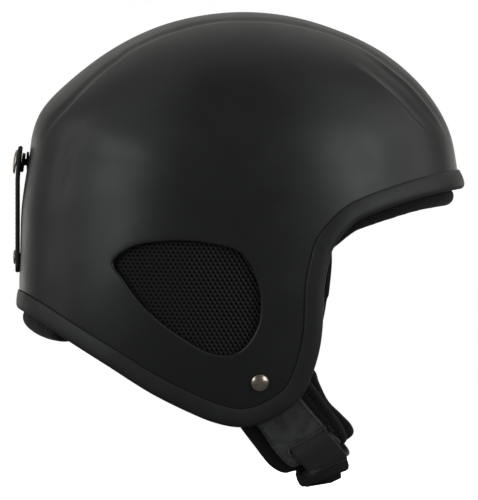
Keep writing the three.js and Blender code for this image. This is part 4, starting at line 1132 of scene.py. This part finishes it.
def stitch_row(line, lift, start):
    """Points, and faces numbered from start, of a row of stitches along a 2-D line in the strap's plane."""
    total = np.linalg.norm(np.diff(line, axis=0), axis=1).sum()
    count = max(1, int(total / (STITCH + STITCH_GAP)))
    ends = resample(line, 2 * count + 1)
    points, faces = [], []
    for a, b in zip(ends[0::2], ends[1::2]):
        reach = unit(b - a)
        sideways = np.array([-reach[1], reach[0]]) * THREAD_RADIUS
        for share, size in STITCH_RINGS:
            for turn in np.arange(6) * math.pi / 3:
                flat = (a + b) / 2 + reach * STITCH / 2 * share + sideways * size * math.cos(turn)
                points.append(strap_plane(flat, lift + THREAD_RADIUS * (size * math.sin(turn) - 0.25 * abs(share))))
        faces += bridge(range(start, start + 30, 6), 6)
        faces += [tuple(range(start, start + 6))[::-1], tuple(range(start + 24, start + 30))]
        start += 30
    return points, faces


def make_stitches(side, rows):
    points, faces = [], []
    for line, lift in rows:
        new_points, new_faces = stitch_row(line, lift, len(points))
        points += new_points
        faces += new_faces
    make_piece("strap_stitching_" + side, on_side(np.array(points), side), faces, THREAD, side + "_strap")


SEAM = smooth_line([[37.5, -198.5], [43.5, -205], [51.5, -215], [57.5, -224], [60.5, -230.5]], 60)
SLIT_HALF = [(-1, 0), (-0.96, 1), (-0.5, 1), (0, 1), (0.5, 1), (0.96, 1)]


def pad_thickness(flat, gap):
    """The share of its full thickness that a strap pad has: less at its seam and at the groove inside its border."""
    groove = np.maximum(hump(line_distance(flat, SEAM)[0], 0.8), hump(gap - 5.5, 0.9) * 0.5)
    puff = 0.94 + 0.06 * np.sin(flat[:, 0] * 0.35) * np.cos(flat[:, 1] * 0.27)
    return puff * (1 - 0.22 * groove)


def make_straps():
    patch = smooth_line(STRAP_PATCH, 150, closed=True)
    along = slit_across * SLIT_LENGTH / 2
    wide = np.array([slit_across[1], -slit_across[0]]) * SLIT_WIDTH / 2
    corners = SLIT_HALF + [(-a, -b) for a, b in SLIT_HALF]
    slit = smooth_line([[SLIT_X, SLIT_Z] + a * along + b * wide for a, b in corners], 70, closed=True)
    rows = [(np.vstack([line, line[:1]]), PATCH_HIGH + 0.08) for line in (inset(patch, 1.7), inset(slit, -1.9))]
    rows.append((SEAM, PAD_HALF - 0.45))
    for side, _ in SIDES:
        outline = smooth_line(STRAP_PAD_BACK + STRAP_PAD_FRONT[side], 190, closed=True)
        pad = make_strap_sheet("strap_pad_" + side + "_soft", "strap_pad_" + side, side, outline, [], -PAD_HALF,
                               PAD_HALF, 2.8, pad_thickness, [SEAM], CLOTH)
        make_strap_sheet("strap_patch_" + side + "_suede", "strap_patch_" + side, side, patch, [slit], PATCH_LOW,
                         PATCH_HIGH, 0.5, lambda flat, gap: 1, [], SUEDE)
        make_stitches(side, rows)


make_webbing()
make_straps()

# ---- turned metal pieces, retainer and buckle --------------------------------------------------------

TURNED_SIDES = 48


def turned(name, profile, start, axis, body, nodes, material=NICKEL):
    """A turned metal piece about a line; profile is [radius, height] pairs from one end to the other."""
    axis = unit(np.asarray(axis, float))
    other = unit(np.cross(axis, [0.3, 0.5, 0.8]))
    angles = np.linspace(0, 2 * math.pi, TURNED_SIDES, endpoint=False)[:, None]
    ring = np.cos(angles) * other + np.sin(angles) * np.cross(axis, other)
    closed = profile[0][0] > 0
    rows = [start + axis * h + ring * r for r, h in profile if r > 0]
    faces = ring_faces(len(rows), TURNED_SIDES, closed)
    if not closed:
        tip = len(rows) * TURNED_SIDES
        last = tip - TURNED_SIDES
        rows += [(start + axis * h)[None] for h in (profile[0][1], profile[-1][1])]
        faces += [(tip, (i + 1) % TURNED_SIDES, i) for i in range(TURNED_SIDES)]
        faces += [(tip + 1, last + i, last + (i + 1) % TURNED_SIDES) for i in range(TURNED_SIDES)]
    soften(make_piece(name, np.vstack(rows), faces, material, body, nodes), 0.18)


def soften(piece, width):
    """Rounds the sharp edges of a moulded or metal piece."""
    bevel = piece.modifiers.new("bevel", "BEVEL")
    bevel.width = width * MM
    bevel.segments = 3
    bevel.limit_method = "ANGLE"
    bevel.angle_limit = 28 * DEGREE
    apply_modifiers(piece)
    smooth_shade(piece)


def raised(profile, way):
    """A profile of [radius, height] pairs moved along its axis."""
    return [[radius, height + way] for radius, height in profile]


rivet_spot = side_point(RIVET)
rivet_axis = dome_normal(rivet_spot)
web_depth = float(np.dot(rivet_spot - strap_plane(RIVET, WEB_LIFT), rivet_axis))
tail_depth = web_depth + STRAP_THICK / 2 + 0.8 + 2
RIVET_PROFILE = [
    *raised([[0, -1], [3.0, -1], [3.4, -0.7], [3.4, 0], [2.4, 0]], -tail_depth),
    [2.4, GAP], [5.4, GAP], [5.6, 0.55], [5.55, 0.95], [5.2, 1.45], [4.6, 1.9], [3.8, 2.35], [2.9, 2.7],
    [1.9, 2.95], [0.9, 3.07], [0, 3.1],
]
for side, turn in SIDES:
    turned("strap_rivet_" + side + "_domed", RIVET_PROFILE, rivet_spot * turn, rivet_axis * turn, "helmet",
           ["strap_rivet_" + side])

BACKWARDS = np.array([-1.0, 0, 0])
BEHIND = RETAINER_THICK / 2


def back_x(z):
    """The dome's x in the middle plane at a height, at its back."""
    low, high = -160.0, CENTRE[0]
    for _ in range(40):
        x = (low + high) / 2
        if dome_level(np.array([x, 0, z])) > 1:
            low = x
        else:
            high = x
    return low


def lean_in(z):
    """How far the top of the retainer leans towards the shell."""
    return 0.13 * max(0.0, z + 73) ** 2 / (z + 85)


LEANING = (-math.cos(8 * DEGREE), 0, math.sin(8 * DEGREE))
snap_spot = np.array([RETAINER_X, 0, SNAP_Z])
anchor_spot = np.array([RETAINER_X, 0, RETAINER_RIVET_Z])
snap_face = RETAINER_X - back_x(SNAP_Z)
CAP_PROFILE = [
    [0, -1.8], [2.4, -1.8], [2.4, GAP], [7.1, GAP], [7.45, 0.5], [7.5, 0.75], [7.3, 1.1], [6.9, 1.45], [6.2, 1.8],
    [5.0, 2.12], [3.5, 2.38], [1.8, 2.55], [0, 2.6],
]
SOCKET_PROFILE = [[2.85, -2.3], [5.2, -2.3], [5.9, -2.0], [5.9, -GAP], [2.85, -GAP]]
STUD_PROFILE = [
    [0, -9.5], [4.6, -9.5], [4.6, -8.7], [2.4, -8.7], [2.4, -0.5], [6.2, -0.5], [6.3, 0.7], [5.9, 1.0], [2.1, 1.2],
    [2.1, 2.2], [2.5, 2.7], [2.0, 3.3], [0, 3.4],
]
ANCHOR_PROFILE = [
    [2.4, GAP], [4.2, GAP], [4.4, 0.45], [4.3, 0.85], [3.6, 1.25], [2.6, 1.5], [1.3, 1.65], [0.02, 1.7],
    [0.02, -9], [2.4, -9],
]
cap_spot = snap_spot + [lean_in(SNAP_Z), 0, 0]
turned("snap_cap_domed", raised(CAP_PROFILE, BEHIND), cap_spot, LEANING, "retainer", ["snap_cap"])
turned("snap_socket_ring", raised(SOCKET_PROFILE, -BEHIND), cap_spot, LEANING, "retainer", ["snap_socket"], OXIDE)
turned("snap_stud_flanged", raised(STUD_PROFILE, snap_face), snap_spot, BACKWARDS, "helmet", ["snap_stud"], OXIDE)
turned("retainer_rivet_domed", raised(ANCHOR_PROFILE, BEHIND), anchor_spot, BACKWARDS, "helmet",
       ["retainer_rivet"])

RIB_PITCH, RIB_DEPTH, BAND_ROUND, BAND_STEPS = 3.0, 0.42, 0.9, 240


def make_retainer():
    """The ribbed strap that holds a goggle strap: one band, riveted below and snapped above."""
    length = RETAINER_TOP - RETAINER_BOTTOM
    half, low = RETAINER_WIDTH / 2, BEHIND + 0.15
    ring = band_ring([(half, 0)] + [
        (half - BAND_ROUND * (1 - math.cos(a)), low - BAND_ROUND * (1 - math.sin(a)))
        for a in np.linspace(0, math.pi / 2, 5)], 24)
    across, through = ring[:, 0], ring[:, 1]
    points = []
    for way in length * np.arange(BAND_STEPS + 1) / BAND_STEPS:
        end = min(way, length - way)
        taper = math.sqrt(max(0.02, 1 - max(0, 1 - end / 1.2) ** 2))
        narrow = 1 - 0.25 * max(0, 1 - end / 4.0) ** 2
        z = RETAINER_BOTTOM + way
        near_pin = min(abs(z - SNAP_Z), abs(z - RETAINER_RIVET_Z))
        rib = RIB_DEPTH * (0.5 - 0.5 * math.cos(2 * math.pi * way / RIB_PITCH))
        rib *= rise(end, 1.5, 3.5) * rise(near_pin, 5.5, 8.0)
        cut = np.where(through > 0.5 * low, rib * rise(half - np.abs(across), 0.4, 1.6), 0)
        out = through * taper - cut
        points.append(np.stack([RETAINER_X + lean_in(z) - out, across * narrow, np.full(len(ring), z)], axis=1))
    strap = make_piece("retainer_band", np.vstack(points), loft_faces(len(points), len(ring)), VINYL,
                       None, ["retainer_strap", "retainer_anchor"])
    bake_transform(strap)


make_retainer()


def make_moulded(node, body):
    """A moulded copy of a CAD solid with its sharp edges rounded."""
    source = frame["nodes"][node].data
    points = np.array([tuple(v.co) for v in source.vertices]) / MM
    faces = [tuple(p.vertices) for p in source.polygons]
    piece = make_piece(node + "_moulded", points, faces, PLASTIC, body, [node], merge=0.01)
    edit = bmesh.new()
    edit.from_mesh(piece.data)
    bmesh.ops.dissolve_limit(edit, angle_limit=2 * DEGREE, verts=edit.verts, edges=edit.edges)
    edit.to_mesh(piece.data)
    edit.free()
    soften(piece, 0.4)


for moulded_node, moulded_body in (("buckle_female", "right_strap"), ("buckle_male", "male_half"),
                                   ("buckle_prong_front", "front_prong"), ("buckle_prong_rear", "rear_prong")):
    make_moulded(moulded_node, moulded_body)

for kept in ("strap_washer_right", "strap_washer_left", "retainer_washer", "snap_washer"):
    for kept_slot in frame["nodes"][kept].material_slots:
        kept_slot.material = OXIDE if kept.startswith("snap") else NICKEL

bpy.context.view_layer.update()
